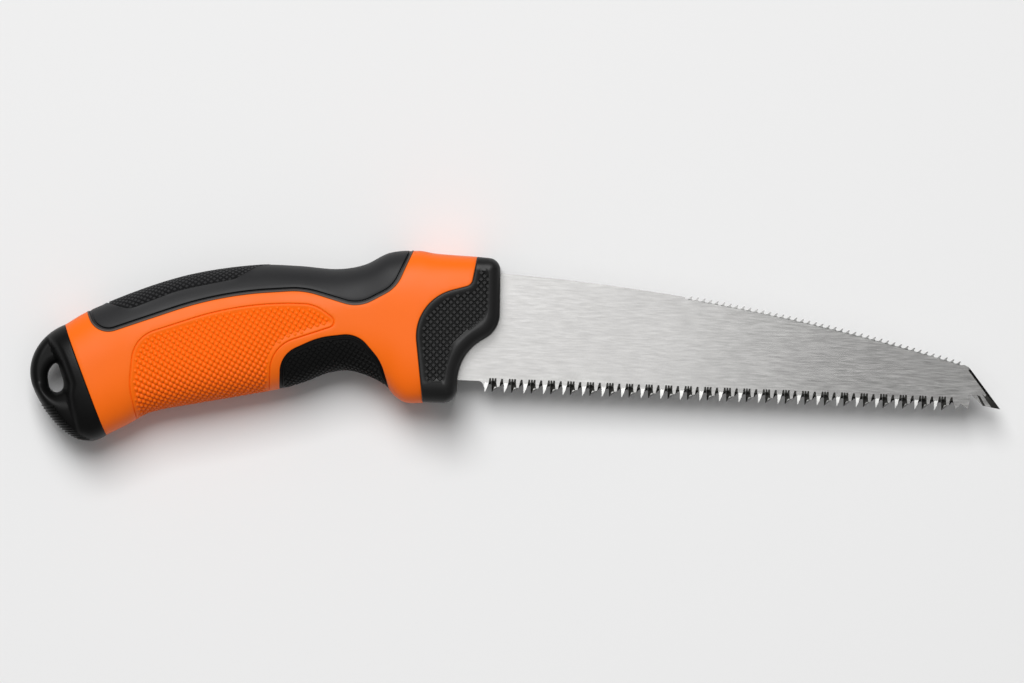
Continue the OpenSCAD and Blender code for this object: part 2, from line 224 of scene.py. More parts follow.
def grid_in(loop: np.ndarray, spacing: float, clear_of: Sequence[np.ndarray]) -> np.ndarray:
    """Staggered points inside a loop, clear of its line and of other loops.

    Args:
        loop: Closed flat loop that holds the points.
        spacing: Distance between the points.
        clear_of: Loops that the points keep more than half a spacing from.

    Returns:
        The points.
    """
    low, high = loop.min(axis=0), loop.max(axis=0)
    rows = np.arange(low[1], high[1], spacing * math.sqrt(3) / 2)
    columns = np.arange(low[0], high[0], spacing)
    points = np.array([[x + (spacing / 2 if k % 2 else 0.0), y]
                       for k, y in enumerate(rows) for x in columns])
    points = points[inside(points, loop)]
    for other in clear_of:
        points = points[distance_to(points, other) > CLEAR_SHARE * spacing]
    return points


# Meshes and pieces


@dataclass
class Solid:
    """Points in drawing millimetres with the faces over them, and the finish number of each face."""

    points: np.ndarray
    faces: list[tuple[int, ...]]
    kinds: list[int] | None = None


@dataclass
class Flat:
    """A triangulated flat area, with the input point that each of its points came from."""

    points: np.ndarray
    faces: list[tuple[int, ...]]
    sources: np.ndarray

    def middles(self) -> np.ndarray:
        """Middle of each face."""
        return np.array([self.points[list(face)].mean(axis=0) for face in self.faces])


def triangulated(loops: Sequence[np.ndarray], points: np.ndarray) -> Flat:
    """Triangles over the area of the first loop, which keep the lines of every loop.

    Args:
        loops: Closed flat loops, the outer one first.
        points: More points inside it.

    Returns:
        The triangles; points made where loops cross take the nearest input point as their source.
    """
    given = np.concatenate([*loops, points]) if len(points) else np.concatenate(list(loops))
    edges: list[tuple[int, int]] = []
    start = 0
    for loop in loops:
        edges.extend((start + k, start + (k + 1) % len(loop)) for k in range(len(loop)))
        start += len(loop)
    made, _, faces, origins, _, _ = delaunay_2d_cdt(
        [Vector(p) for p in given], edges, [], INSIDE_ONLY, JOIN_GAP)
    places = np.array([v[:] for v in made])
    sources = np.array([origin[0] if origin else -1 for origin in origins])
    for k in np.flatnonzero(sources < 0):
        sources[k] = int(np.argmin(np.sum((given - places[k]) ** 2, axis=1)))
    return Flat(places, [tuple(face) for face in faces], sources)


def turned_over(faces: Sequence[tuple[int, ...]], shift: int = 0) -> list[tuple[int, ...]]:
    """Faces seen from their other side, with their point numbers raised by a shift."""
    return [tuple(shift + i for i in reversed(face)) for face in faces]


def rim_edges(faces: Sequence[tuple[int, ...]]) -> list[tuple[int, int]]:
    """Edges that only one face has, in that face's direction."""
    edges = {(face[k - 1], face[k]) for face in faces for k in range(len(face))}
    return [(a, b) for a, b in edges if (b, a) not in edges]


def closed(outer: np.ndarray, inner: np.ndarray, faces: Sequence[tuple[int, ...]],
           kinds: Sequence[int] | None = None) -> Solid:
    """A closed solid between two skins that share their faces.

    Args:
        outer: Points of the outer skin.
        inner: Points of the inner skin, one for each outer point.
        faces: Faces of the outer skin, seen from outside.
        kinds: Finish number of each outer face, which the inner face shares.

    Returns:
        The solid, with a wall round every open rim.
    """
    n = len(outer)
    walls = [(b, a, n + a, n + b) for a, b in rim_edges(faces)]
    numbers = None if kinds is None else [*kinds, *kinds, *([Ground.FLAT.value] * len(walls))]
    return Solid(np.concatenate([outer, inner]), [*faces, *turned_over(faces, n), *walls], numbers)


def linked(name: str, data: bpy.types.ID) -> bpy.types.Object:
    """A new object in the scene, with its data."""
    made = bpy.data.objects.new(name, data)
    bpy.context.scene.collection.objects.link(made)
    return made


def plain_object(name: str, points: np.ndarray, faces: Sequence[tuple[int, ...]],
                 edges: Sequence[tuple[int, int]] = ()) -> bpy.types.Object:
    """A new object in the scene, with its drawing points taken to the row frame."""
    mesh = bpy.data.meshes.new(name)
    mesh.from_pydata(((points + ORIGIN) * MM).tolist(), list(edges), list(faces))
    return linked(name, mesh)


def smoothed(made: bpy.types.Object, sharp_deg: float) -> None:
    """Smooth shading, with edges over an angle kept sharp."""
    made.data.shade_smooth()
    made.data.set_sharp_from_angle(angle=math.radians(sharp_deg))


def piece_of(name: str, solid: Solid, materials: Sequence[bpy.types.Material],
             sharp_deg: float = 38.0) -> bpy.types.Object:
    """An object made from a solid, dressed with its materials."""
    made = plain_object(name, solid.points, solid.faces)
    for material in materials:
        made.data.materials.append(material)
    if solid.kinds is not None:
        made.data.polygons.foreach_set("material_index", solid.kinds)
    smoothed(made, sharp_deg)
    return made


def hand_over(made: bpy.types.Object, slot: Slot, *nodes: str) -> None:
    """Put a finished piece on the saw's body, hide the solids it stands for and log them."""
    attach(made, BODY)
    if nodes:
        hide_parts(*nodes)
    stands_for = ", ".join(nodes) or "no solid"
    LOG.info("%s: %d faces, stands for %s", made.name, len(made.data.polygons), stands_for)


# Node trees


class Graph:
    """Adds nodes to a tree and links them."""

    def __init__(self, tree: bpy.types.NodeTree) -> None:
        """Keep the tree that the nodes go into."""
        self.tree = tree

    def node(self, kind: str, inputs: dict | None = None, **settings: object) -> bpy.types.Node:
        """A new node.

        Args:
            kind: Blender's name of the node's type.
            inputs: Values or sockets for its inputs, by name or number.
            **settings: Values for the node's own properties.

        Returns:
            The node.
        """
        made = self.tree.nodes.new(kind)
        for key, value in settings.items():
            setattr(made, key, value)
        for key, value in (inputs or {}).items():
            if isinstance(value, bpy.types.NodeSocket):
                self.tree.links.new(value, made.inputs[key])
            else:
                made.inputs[key].default_value = value
        return made

    def out(self, kind: str, inputs: dict | None = None, output: str | int = 0,
            **settings: object) -> bpy.types.NodeSocket:
        """One output of a new node, by its name or number: the first where none is said."""
        return self.node(kind, inputs, **settings).outputs[output]


class ShapeTree:
    """A Geometry Nodes tree with named inputs, applied to an object as a plain mesh."""

    def __init__(self, name: str) -> None:
        """Make an empty tree with a geometry input and output."""
        self.tree = bpy.data.node_groups.new(name, "GeometryNodeTree")
        self.graph = Graph(self.tree)
        self.idents: dict[str, str] = {}
        self.add_input("Geometry", "NodeSocketGeometry")
        self.tree.interface.new_socket("Geometry", in_out="OUTPUT", socket_type="NodeSocketGeometry")
        self.given = self.tree.nodes.new("NodeGroupInput")

    def add_input(self, name: str, kind: str) -> None:
        """A named input of the tree."""
        socket = self.tree.interface.new_socket(name, in_out="INPUT", socket_type=kind)
        self.idents[name] = socket.identifier

    def ask(self, **kinds: str) -> None:
        """Several named inputs with the kind of socket of each, such as Float."""
        for name, kind in kinds.items():
            self.add_input(name, "NodeSocket" + kind)

    def value(self, name: str) -> bpy.types.NodeSocket:
        """Socket of a named input."""
        return self.given.outputs[name]

    def finish(self, geometry: bpy.types.NodeSocket) -> None:
        """Link the result to the tree's output."""
        self.graph.node("NodeGroupOutput", {"Geometry": geometry})

    def finish_dressed(self, instances: bpy.types.NodeSocket) -> None:
        """Make the instances real, give them the input named Finish and link the result to the output."""
        real = self.graph.out("GeometryNodeRealizeInstances", {"Geometry": instances})
        finish = self.value("Finish")
        self.finish(self.graph.out("GeometryNodeSetMaterial", {"Geometry": real, "Material": finish}))

    def apply(self, made: bpy.types.Object, **values: object) -> None:
        """Run the tree on an object and keep the result as its mesh.

        Args:
            made: Object whose mesh goes in.
            **values: Values of the named inputs.
        """
        modifier = made.modifiers.new(self.tree.name, "NODES")
        modifier.node_group = self.tree
        for name, value in values.items():
            modifier[self.idents[name]] = value
        graph = bpy.context.evaluated_depsgraph_get()
        mesh = bpy.data.meshes.new_from_object(made.evaluated_get(graph), depsgraph=graph)
        made.modifiers.clear()
        made.data = mesh


@dataclass(frozen=True)
class Bump:
    """Sizes of one knurl bump and of the square lattice that it stands on."""

    pitch: float
    base: float
    top: float
    height: float
    turn_deg: float
    sharp_deg: float = 20.0

    def way(self) -> tuple[float, float]:
        """Flat direction of one side of the bumps."""
        turn = math.radians(self.turn_deg)
        return math.cos(turn), math.sin(turn)

    def lattice(self, reach: float) -> np.ndarray:
        """Flat places of the lattice round the origin, out to a reach along both of its ways."""
        count = int(reach / self.pitch)
        i, j = (axis.ravel() for axis in np.mgrid[-count:count + 1, -count:count + 1])
        c, s = self.way()
        return np.stack([i * c - j * s, i * s + j * c], axis=1) * self.pitch


class Knurl:
    """Tree that sets a four-sided bump on every point, turned by the point's own attribute."""

    TURN = "turn"

    def __init__(self) -> None:
        """Build the tree."""
        self.shape = ShapeTree("knurl")
        self.shape.ask(Base="Float", Top="Float", Height="Float", Finish="Material")
        graph, value = self.shape.graph, self.shape.value
        half_diagonal = math.sqrt(0.5)
        base, top = (graph.out("ShaderNodeMath", {0: value(name), 1: half_diagonal}, operation="MULTIPLY")
                     for name in ("Base", "Top"))
        bump = graph.out("GeometryNodeMeshCone", {
            "Vertices": 4, "Radius Top": top, "Radius Bottom": base, "Depth": value("Height")})
        square = graph.out("GeometryNodeTransform", {
            "Geometry": bump, "Rotation": (0.0, 0.0, math.radians(45))})
        turn = graph.out("GeometryNodeInputNamedAttribute", {"Name": self.TURN}, "Attribute",
                         data_type="QUATERNION")
        self.shape.finish_dressed(graph.out("GeometryNodeInstanceOnPoints", {
            "Points": value("Geometry"), "Instance": square, "Rotation": turn}))

    def piece(self, name: str, points: np.ndarray, ways: np.ndarray, normals: np.ndarray,
              bump: Bump, material: bpy.types.Material) -> bpy.types.Object:
        """Bumps at the given places as one object.

        Args:
            name: Name of the object.
            points: Feet of the bumps, in drawing millimetres.
            ways: Direction of one side of each bump.
            normals: Direction in which each bump stands.
            bump: Sizes of a bump.
            material: Finish of the bumps.

        Returns:
            The object.
        """
        made = plain_object(name, points, [])
        side = unit(np.cross(normals, ways))
        along = np.cross(side, normals)
        turns = [Matrix(axes).transposed().to_quaternion()[:] for axes in zip(along, side, normals)]
        made.data.attributes.new(self.TURN, "QUATERNION", "POINT")
        made.data.attributes[self.TURN].data.foreach_set("value", np.array(turns, np.float32).ravel())
        self.shape.apply(made, Base=bump.base * MM, Top=bump.top * MM, Height=bump.height * MM,
                         Finish=material)
        smoothed(made, bump.sharp_deg)
        return made


# Finishes


def new_material(name: str) -> tuple[bpy.types.Material, Graph]:
    """An empty material with its node graph."""
    made = bpy.data.materials.new(name)
    made.use_nodes = True
    made.node_tree.nodes.clear()
    return made, Graph(made.node_tree)


# Part of a noise's range that most of its values fall in
NOISE_SPAN = (0.3, 0.7)


def spread(graph: Graph, value: bpy.types.NodeSocket, low: float = 0.0,
           high: float = 1.0) -> bpy.types.NodeSocket:
    """A noise's value stretched to run from low to high."""
    return graph.out("ShaderNodeMapRange", {"Value": value, "From Min": NOISE_SPAN[0],
                                            "From Max": NOISE_SPAN[1], "To Min": low, "To Max": high})


def drifting(graph: Graph, share: bpy.types.NodeSocket, color: Color, drift: float) -> bpy.types.NodeSocket:
    """A colour that runs from darker to lighter with a share.

    Args:
        graph: Graph of the material.
        share: From 0 at the dark end to 1 at the light one.
        color: The colour in the middle.
        drift: Part of the colour that it drifts by to each side.

    Returns:
        The colour's socket.
    """
    low = tuple(c * (1 - drift) for c in color)
    high = tuple(min(1.0, c * (1 + drift)) for c in color)
    return graph.out("ShaderNodeMix", {"Factor": share, "A": (*low, 1.0), "B": (*high, 1.0)}, "Result",
                     data_type="RGBA")


def noise(graph: Graph, place: bpy.types.NodeSocket, scale: float, detail: float,
          **more: float) -> bpy.types.NodeSocket:
    """A noise over places, with more of the node's inputs by name."""
    return graph.out("ShaderNodeTexNoise", {"Vector": place, "Scale": scale, "Detail": detail, **more})


def surfaced(graph: Graph, **inputs: object) -> None:
    """End a material in one surface, whose inputs are named with underscores for their spaces."""
    named = {name.replace("_", " "): value for name, value in inputs.items()}
    shader = graph.out("ShaderNodeBsdfPrincipled", named)
    graph.node("ShaderNodeOutputMaterial", {"Surface": shader})


def bumped(graph: Graph, height: bpy.types.NodeSocket, strength: float,
           depth: float) -> bpy.types.NodeSocket:
    """Surface directions bumped by a height, whose depth is in millimetres."""
    return graph.out("ShaderNodeBump", {"Height": height, "Strength": strength, "Distance": depth * MM})


@dataclass(frozen=True)
class Moulded:
    """Moulded plastic or rubber: fine spark grain, a slow drift of tone and of gloss."""

    name: str
    color: Color
    roughness: float
    grain: float
    grain_depth: float
    drift: float
    specular: float

    # Noise scale of the slow drift, and how far it takes the roughness
    DRIFT_SCALE = 55.0
    GLOSS_DRIFT = (-0.04, 0.05)
    # Pits for each grain, and strength of the grain's bump
    PIT_SHARE = 0.6
    BUMP_STRENGTH = 0.6

    def material(self) -> bpy.types.Material:
        """The finish as a material on Object coordinates."""
        made, graph = new_material(self.name)
        place = graph.out("ShaderNodeTexCoord", None, "Object")
        slow = noise(graph, place, self.DRIFT_SCALE, detail=3.0)
        fine = noise(graph, place, 1 / (self.grain * MM), detail=2.0)
        pits = graph.out("ShaderNodeTexVoronoi", {
            "Vector": place, "Scale": self.PIT_SHARE / (self.grain * MM)})
        grain = graph.out("ShaderNodeMath", {0: fine, 1: pits}, operation="ADD")
        surfaced(graph, Base_Color=drifting(graph, slow, self.color, self.drift),
                 Roughness=spread(graph, slow, *(self.roughness + by for by in self.GLOSS_DRIFT)),
                 Normal=bumped(graph, grain, self.BUMP_STRENGTH, self.grain_depth),
                 Specular_IOR_Level=self.specular)
        return made


@dataclass(frozen=True)
class Brushed:
    """Steel with fine lines along one axis and faint blotches."""

    name: str
    color: Color
    roughness: float
    line: float
    stretch: float
    contrast: float
    across: bool = False

    # Noise scale of the blotches and their share of the tone
    BLOTCH_SCALE = 38.0
    BLOTCH_SHARE = 0.3
    # Breakup of the lines, how far they take the roughness, and their bump
    LINE_BREAKUP = 0.65
    GLOSS_DRIFT = (-0.03, 0.04)
    BUMP_STRENGTH = 0.12
    BUMP_DEPTH = 0.02

    def material(self) -> bpy.types.Material:
        """The finish as a material on Object coordinates, with its lines along X or across it."""
        made, graph = new_material(self.name)
        place = graph.out("ShaderNodeTexCoord", None, "Object")
        scale = (1.0, 1 / self.stretch, 1.0) if self.across else (1 / self.stretch, 1.0, 1.0)
        drawn = graph.out("ShaderNodeMapping", {"Vector": place, "Scale": scale})
        lines = noise(graph, drawn, 1 / (self.line * MM), detail=4.0, Roughness=self.LINE_BREAKUP)
        blotch = noise(graph, place, self.BLOTCH_SCALE, detail=4.0)
        both = graph.out("ShaderNodeMix", {"Factor": self.BLOTCH_SHARE, "A": lines, "B": blotch}, "Result")
        tone = drifting(graph, spread(graph, both), self.color, self.contrast)
        surfaced(graph, Base_Color=tone, Metallic=1.0,
                 Roughness=spread(graph, lines, *(self.roughness + by for by in self.GLOSS_DRIFT)),
                 Normal=bumped(graph, lines, self.BUMP_STRENGTH, self.BUMP_DEPTH))
        return made


@dataclass(frozen=True)
class Wardrobe:
    """Every finish of the saw."""

    body: Moulded = Moulded("orange_body", (0.885, 0.144, 0.005), 0.45, 0.35, 0.010, 0.03, 0.18)
    palm: Moulded = Moulded("palm_orange", (0.90, 0.140, 0.002), 0.50, 0.30, 0.012, 0.04, 0.16)
    guard: Moulded = Moulded("guard_rubber", (0.010, 0.010, 0.010), 0.42, 0.30, 0.012, 0.10, 0.22)
    back: Moulded = Moulded("grip_rubber", (0.017, 0.017, 0.018), 0.52, 0.40, 0.014, 0.10, 0.24)
    # The lip's lighter, browner colour than the grip's is a painted highlight along the lip.
    lip: Moulded = Moulded("grip_lip_painted_highlight", (0.075, 0.055, 0.046), 0.52, 0.40, 0.014, 0.10, 0.24)
    finger: Moulded = Moulded("finger_rubber", (0.0055, 0.0055, 0.0055), 0.50, 0.30, 0.012, 0.10, 0.11)
    cap: Moulded = Moulded("cap_black", (0.004, 0.004, 0.004), 0.40, 0.35, 0.012, 0.10, 0.12)
    blade: Brushed = Brushed("blade_steel", (0.545, 0.54, 0.53), 0.22, 0.38, 14.0, 0.10)
    # Light and near-black copies of the blade's steel for the ground tooth faces: a painted highlight and
    # painted shade, where the faces would reflect the lamp or dark surroundings.
    bright: Brushed = Brushed("ground_bright_painted_highlight", (0.68, 0.68, 0.665), 0.35, 0.12, 8.0, 0.06, across=True)
    dark_painted_shade: Brushed = Brushed("ground_dark_painted_shade", (0.030, 0.030, 0.028), 0.38, 0.14, 8.0, 0.6, across=True)
    fastener: Brushed = Brushed("fastener_steel", (0.55, 0.56, 0.57), 0.35, 0.10, 4.0, 0.10)


# The handle's form


@dataclass(frozen=True)
class SmoothLine:
    """A smooth curve through points, read at x."""

    points: tuple[tuple[float, float], ...]

    def __call__(self, x: np.ndarray) -> np.ndarray:
        """Height of the curve at each x."""
        px, py = np.array(self.points).T
        last = len(px) - 1
        numbers = np.arange(last + 1)
        before, after = np.maximum(numbers - 1, 0), np.minimum(numbers + 1, last)
        slopes = (py[after] - py[before]) / (px[after] - px[before])
        i = np.clip(np.searchsorted(px, x) - 1, 0, last - 1)
        span = px[i + 1] - px[i]
        t = np.clip((x - px[i]) / span, 0.0, 1.0)
        u = 1.0 - t
        return (py[i] * u * u * (1 + 2 * t) + py[i + 1] * t * t * (1 + 2 * u)
                + span * t * u * (slopes[i] * u - slopes[i + 1] * t))


@dataclass
class HandleForm:
    """The handle's skin: rounded sections strung along it, read by station and girth.

    A station counts millimetres of spine from the butt seam. A girth is 0 on the spine and 1 on the belly of
    the upper flank, and runs on to 2, back at the spine, over the lower flank.
    """

    body_l: float = 144.0
    seam_lean: float = 15.2
    lean_l: float = 69.0
    spine: SmoothLine = SmoothLine((
        (-144, 16.7), (-137, 21.2), (-116.4, 30.4), (-99.9, 35.7), (-80, 39.1), (-66.7, 39.3), (-54, 38.8),
        (-45.1, 40.6), (-36.9, 44.9), (-27, 46), (-21.6, 45.3), (-7.6, 44.8), (0, 44.6)))
    belly: SmoothLine = SmoothLine((
        (-128.8, -19.5), (-121.2, -15.3), (-114.7, -11.5), (-98.2, -7.6), (-84.9, -4.8), (-70, -1.4),
        (-62.8, 1.1), (-55.9, 4.1), (-49.3, 5.2), (-43, 3.8), (-37, 1), (-33.3, -2.7), (-29.9, -4.6),
        (-23.6, -4.6), (0, -4.6)))
    half_line: SmoothLine = SmoothLine(((-144, 13), (-104, 14.5), (-50, 12.5), (-22, 14.1), (0, 14.1)))
    square_line: SmoothLine = SmoothLine(((-144, 2.6), (-60, 2.5), (-30, 3.4), (0, 4.5)))
    station_step: float = 0.5
    girth_steps: int = 240

    # Rounds of the searches for a station, for a crossing of the silhouette and for an even run
    LOCATE_ROUNDS = 12
    HALVINGS = 60
    SPLIT_ROUNDS = 40
    # Steps of station and girth that slopes are measured over
    SLOPE_STEPS = (0.5, 0.012)
    # Millimetres that a search may run past an end: half of it counts as off the handle
    OVERRUN = 1.0

    def __post_init__(self) -> None:
        """Measure the sections once, at even steps of station and girth."""
        stations = np.arange(0.0, self.body_l + self.station_step, self.station_step)
        top, bottom = self.ends(stations)
        high = np.linalg.norm(top - bottom, axis=1)[:, None] / 2
        wide = self.half_line(stations - self.body_l)[:, None]
        power = self.square_line(stations - self.body_l)[:, None]
        angle = np.linspace(0.0, math.pi, 4 * self.girth_steps + 1)[None]
        fullness = np.abs(np.cos(angle) / high) ** power + np.abs(np.sin(angle) / wide) ** power
        reach = fullness ** (-1 / power)
        up, out = reach * np.cos(angle), reach * np.sin(angle)
        grown = np.cumsum(np.hypot(np.diff(up, axis=1), np.diff(out, axis=1)), axis=1)
        grown = np.concatenate([np.zeros((len(stations), 1)), grown], axis=1)
        shares = np.linspace(0.0, 1.0, self.girth_steps + 1)
        self.stations = stations
        self.shares = shares
        self.half_girth = grown[:, -1]
        self.up, self.out = (np.array([np.interp(shares * g[-1], g, row) for g, row in zip(grown, table)])
                             for table in (up, out))
        self.out[:, [0, -1]] = 0.0

    def lean_at(self, stations: np.ndarray) -> np.ndarray:
        """How far the sections at some stations lean forwards at the belly."""
        return self.seam_lean * np.maximum(0.0, 1 - stations / self.lean_l)

    def ends(self, stations: np.ndarray) -> tuple[np.ndarray, np.ndarray]:
        """Spine and belly places of the sections at some stations."""
        x = stations - self.body_l
        low_x = x + self.lean_at(stations)
        return np.stack([x, self.spine(x)], axis=1), np.stack([low_x, self.belly(low_x)], axis=1)

    def girth_at(self, stations: np.ndarray) -> np.ndarray:
        """Length of half a section at each station, in millimetres."""
        return np.interp(stations, self.stations, self.half_girth)

    def _read(self, table: np.ndarray, stations: np.ndarray, shares: np.ndarray) -> np.ndarray:
        """A table of the sections read between its steps."""
        i = np.clip(stations / self.station_step, 0, len(self.stations) - 1 - SLIGHT)
        j = np.clip(shares * self.girth_steps, 0, self.girth_steps - SLIGHT)
        a, b = i.astype(int), j.astype(int)
        s, t = i - a, j - b
        return ((table[a, b] * (1 - t) + table[a, b + 1] * t) * (1 - s)
                + (table[a + 1, b] * (1 - t) + table[a + 1, b + 1] * t) * s)

    def point(self, stations: np.ndarray, girths: np.ndarray) -> np.ndarray:
        """Points of the skin, in drawing millimetres."""
        wrapped = np.mod(girths, 2.0)
        shares = np.where(wrapped > 1, 2 - wrapped, wrapped)
        side = np.where(wrapped > 1, -1.0, 1.0)
        top, bottom = self.ends(stations)
        flat = (top + bottom) / 2 + unit(top - bottom) * self._read(self.up, stations, shares)[:, None]
        return np.column_stack([flat, side * self._read(self.out, stations, shares)])

    def slopes(self, stations: np.ndarray, girths: np.ndarray) -> tuple[np.ndarray, np.ndarray]:
        """How a skin point moves with its station and with its girth."""
        ds, dg = self.SLOPE_STEPS
        low, high = np.maximum(stations - ds, 0.0), np.minimum(stations + ds, self.body_l)
        along = (self.point(high, girths) - self.point(low, girths)) / (high - low)[:, None]
        around = (self.point(stations, girths + dg) - self.point(stations, girths - dg)) / (2 * dg)
        return along, around

    def normal(self, stations: np.ndarray, girths: np.ndarray) -> np.ndarray:
        """Outward directions of the skin."""
        along, around = self.slopes(stations, girths)
        return unit(np.cross(around, along))

    def locate(self, flat: np.ndarray) -> tuple[np.ndarray, np.ndarray, np.ndarray]:
        """Station and girth of side view places on the upper flank.

        Args:
            flat: Places in the drawing's side view.

        Returns:
            Stations, girths from 0 to 1, and by how much each place lies inside the silhouette.
        """
        stations = np.clip(flat[:, 0] + self.body_l, 0.0, self.body_l)
        for _ in range(self.LOCATE_ROUNDS):
            top, bottom = self.ends(stations)
            share = (top[:, 1] - flat[:, 1]) / (top[:, 1] - bottom[:, 1])
            leant = flat[:, 0] + self.body_l - self.lean_at(stations) * share
            stations = np.clip(leant, -self.OVERRUN, self.body_l + self.OVERRUN)
        top, bottom = self.ends(stations)
        across = unit(top - bottom)
        up = np.sum((flat - (top + bottom) / 2) * across, axis=1)
        room = np.linalg.norm(top - bottom, axis=1) / 2 - np.abs(up)
        past = self.OVERRUN / 2
        room = np.where((stations < -past) | (stations > self.body_l + past), -1.0, room)
        girths = np.empty(len(flat))
        for k, (station, height) in enumerate(zip(stations, up)):
            row = self._read(self.up, np.full(len(self.shares), station), self.shares)
            girths[k] = np.interp(-height, -row, self.shares)
        return stations, girths, room

    def trace(self, corners: Sequence[Corner], step: float = 0.5) -> np.ndarray:
        """Follow a side outline over the upper flank, from silhouette to silhouette.

        Args:
            corners: The outline, which leaves the silhouette once.
            step: Distance between the points on the skin.

        Returns:
            Stations and girths of evenly spaced points.
        """
        line = rounded(corners)
        covered = self.locate(line)[2] > 0
        first = next(k for k in range(len(line)) if covered[k] and not covered[k - 1])
        line = np.roll(line, 1 - first, axis=0)
        count = int(np.argmin(np.roll(covered, 1 - first)[1:]))
        run = line[:count + 2]
        along = lengths_along(run)

        def flat_at(places: np.ndarray) -> np.ndarray:
            """Side view places at distances along the run."""
            return read_at(places, along, run)

        def edge(off: float, on: float) -> float:
            """Where the run crosses the silhouette, between a place off the handle and one on it."""
            for _ in range(self.HALVINGS):
                middle = (off + on) / 2
                if self.locate(flat_at(np.array([middle])))[2][0] > 0:
                    on = middle
                else:
                    off = middle
            return on

        places = np.linspace(edge(along[0], along[1]), edge(along[-1], along[-2]), count)
        for _ in range(self.SPLIT_ROUNDS):
            stations, girths, _ = self.locate(flat_at(places))
            girths[[0, -1]] = np.round(girths[[0, -1]])
            gaps = np.linalg.norm(np.diff(self.point(stations, girths), axis=0), axis=1)
            wide = gaps > step
            if not wide.any():
                break
            places = np.sort(np.concatenate([places, (places[:-1] + places[1:])[wide] / 2]))
        along = lengths_along(self.point(stations, girths))
        return spaced(np.stack([stations, girths], axis=1), along, step)

    def shifted(self, loop: np.ndarray, by: float) -> np.ndarray:
        """A closed loop of stations and girths, moved inwards on the skin by a distance."""
        stations, girths = loop.T
        skin = self.point(stations, girths)
        tangent = np.roll(skin, -1, axis=0) - np.roll(skin, 1, axis=0)
        sideways = unit(np.cross(self.normal(stations, girths), tangent))
        along, around = self.slopes(stations, girths)
        pairs = ((along, along), (along, around), (around, around))
        aa, ab, bb = (np.sum(p * q, axis=1) for p, q in pairs)
        pa, pb = np.sum(along * sideways, axis=1), np.sum(around * sideways, axis=1)
        scale = aa * bb - ab * ab
        steps = np.stack([(bb * pa - ab * pb) / scale, (aa * pb - ab * pa) / scale], axis=1)
        inwards = loop + by * steps
        return inwards if abs(loop_area(inwards)) < abs(loop_area(loop)) else loop - by * steps


# Skin pieces


# Millimetres for a whole girth where stations and girths are laid out flat
PLANE = np.array([1.0, 58.0])


@dataclass
class Profile:
    """How a skin stands along its border: distances inwards with the lift at each."""

    steps: tuple[tuple[float, float], ...]

    def rings(self, form: HandleForm, loop: np.ndarray) -> list[tuple[np.ndarray, float]]:
        """The border moved inwards to each step, with the lift there."""
        return [(form.shifted(loop, by) if by else loop, lift) for by, lift in self.steps]


@dataclass
class SkinPatch:
    """A closed piece of the handle's skin inside a border.

    A sunk zone has a border and a profile of its own. The faces between the outermost lip rings take the
    second material of the piece, which on the back grip is a lighter colour painting a highlight on the lip.
    """

    form: HandleForm
    border: np.ndarray
    profile: Profile
    depth: float
    spacing: float = 1.1
    sunk: np.ndarray | None = None
    sunk_profile: Profile | None = None
    lip_rings: int = 0

    # Share of a groove's depth that is left on the spine and the belly, and how fast it grows off them
    GROOVE_LEFT = 0.1
    GROOVE_GROWTH = 2

    def solid(self) -> Solid:
        """Triangulate the border's area and raise it off the skin."""
        rings = self.profile.rings(self.form, self.border)
        if self.sunk is not None:
            rings += self.sunk_profile.rings(self.form, self.sunk)
        loops = [ring * PLANE for ring, _ in rings]
        last = len(self.profile.steps) - 1
        points = grid_in(loops[last], self.spacing, loops)
        lifts = np.full(len(points), rings[last][1])
        if self.sunk is not None:
            lifts[inside(points, loops[-1])] = rings[-1][1]
        lifts = np.concatenate([*(np.full(len(ring), lift) for ring, lift in rings), lifts])
        grooved = np.arange(len(lifts)) < sum(len(ring) for ring, _ in rings[:last + 1])
        flat = triangulated(loops, points)
        stations, girths = (flat.points / PLANE).T
        lifts, grooved = lifts[flat.sources], grooved[flat.sources] & (lifts[flat.sources] < 0)
        off_rail = np.abs(np.sin(math.pi * girths))
        left = np.clip(self.GROOVE_LEFT + self.GROOVE_GROWTH * off_rail, 0.0, 1.0)
        lifts = np.where(grooved, lifts * left, lifts)
        skin, normal = self.form.point(stations, girths), self.form.normal(stations, girths)
        outer = skin + normal * lifts[:, None]
        inner = skin - normal * self.depth
        a, b, c = (outer[[face[k] for face in flat.faces]] for k in range(3))
        outward = np.sum(np.cross(b - a, c - a) * normal[[face[0] for face in flat.faces]])
        faces = flat.faces if outward > 0 else turned_over(flat.faces)
        numbers = [np.full(len(ring), k) for k, (ring, _) in enumerate(rings)]
        ring_of = np.concatenate([*numbers, np.full(len(points), len(rings))])[flat.sources]
        kinds = [int(max(ring_of[i] for i in face) < self.lip_rings) for face in faces]
        return closed(outer, inner, faces, kinds)


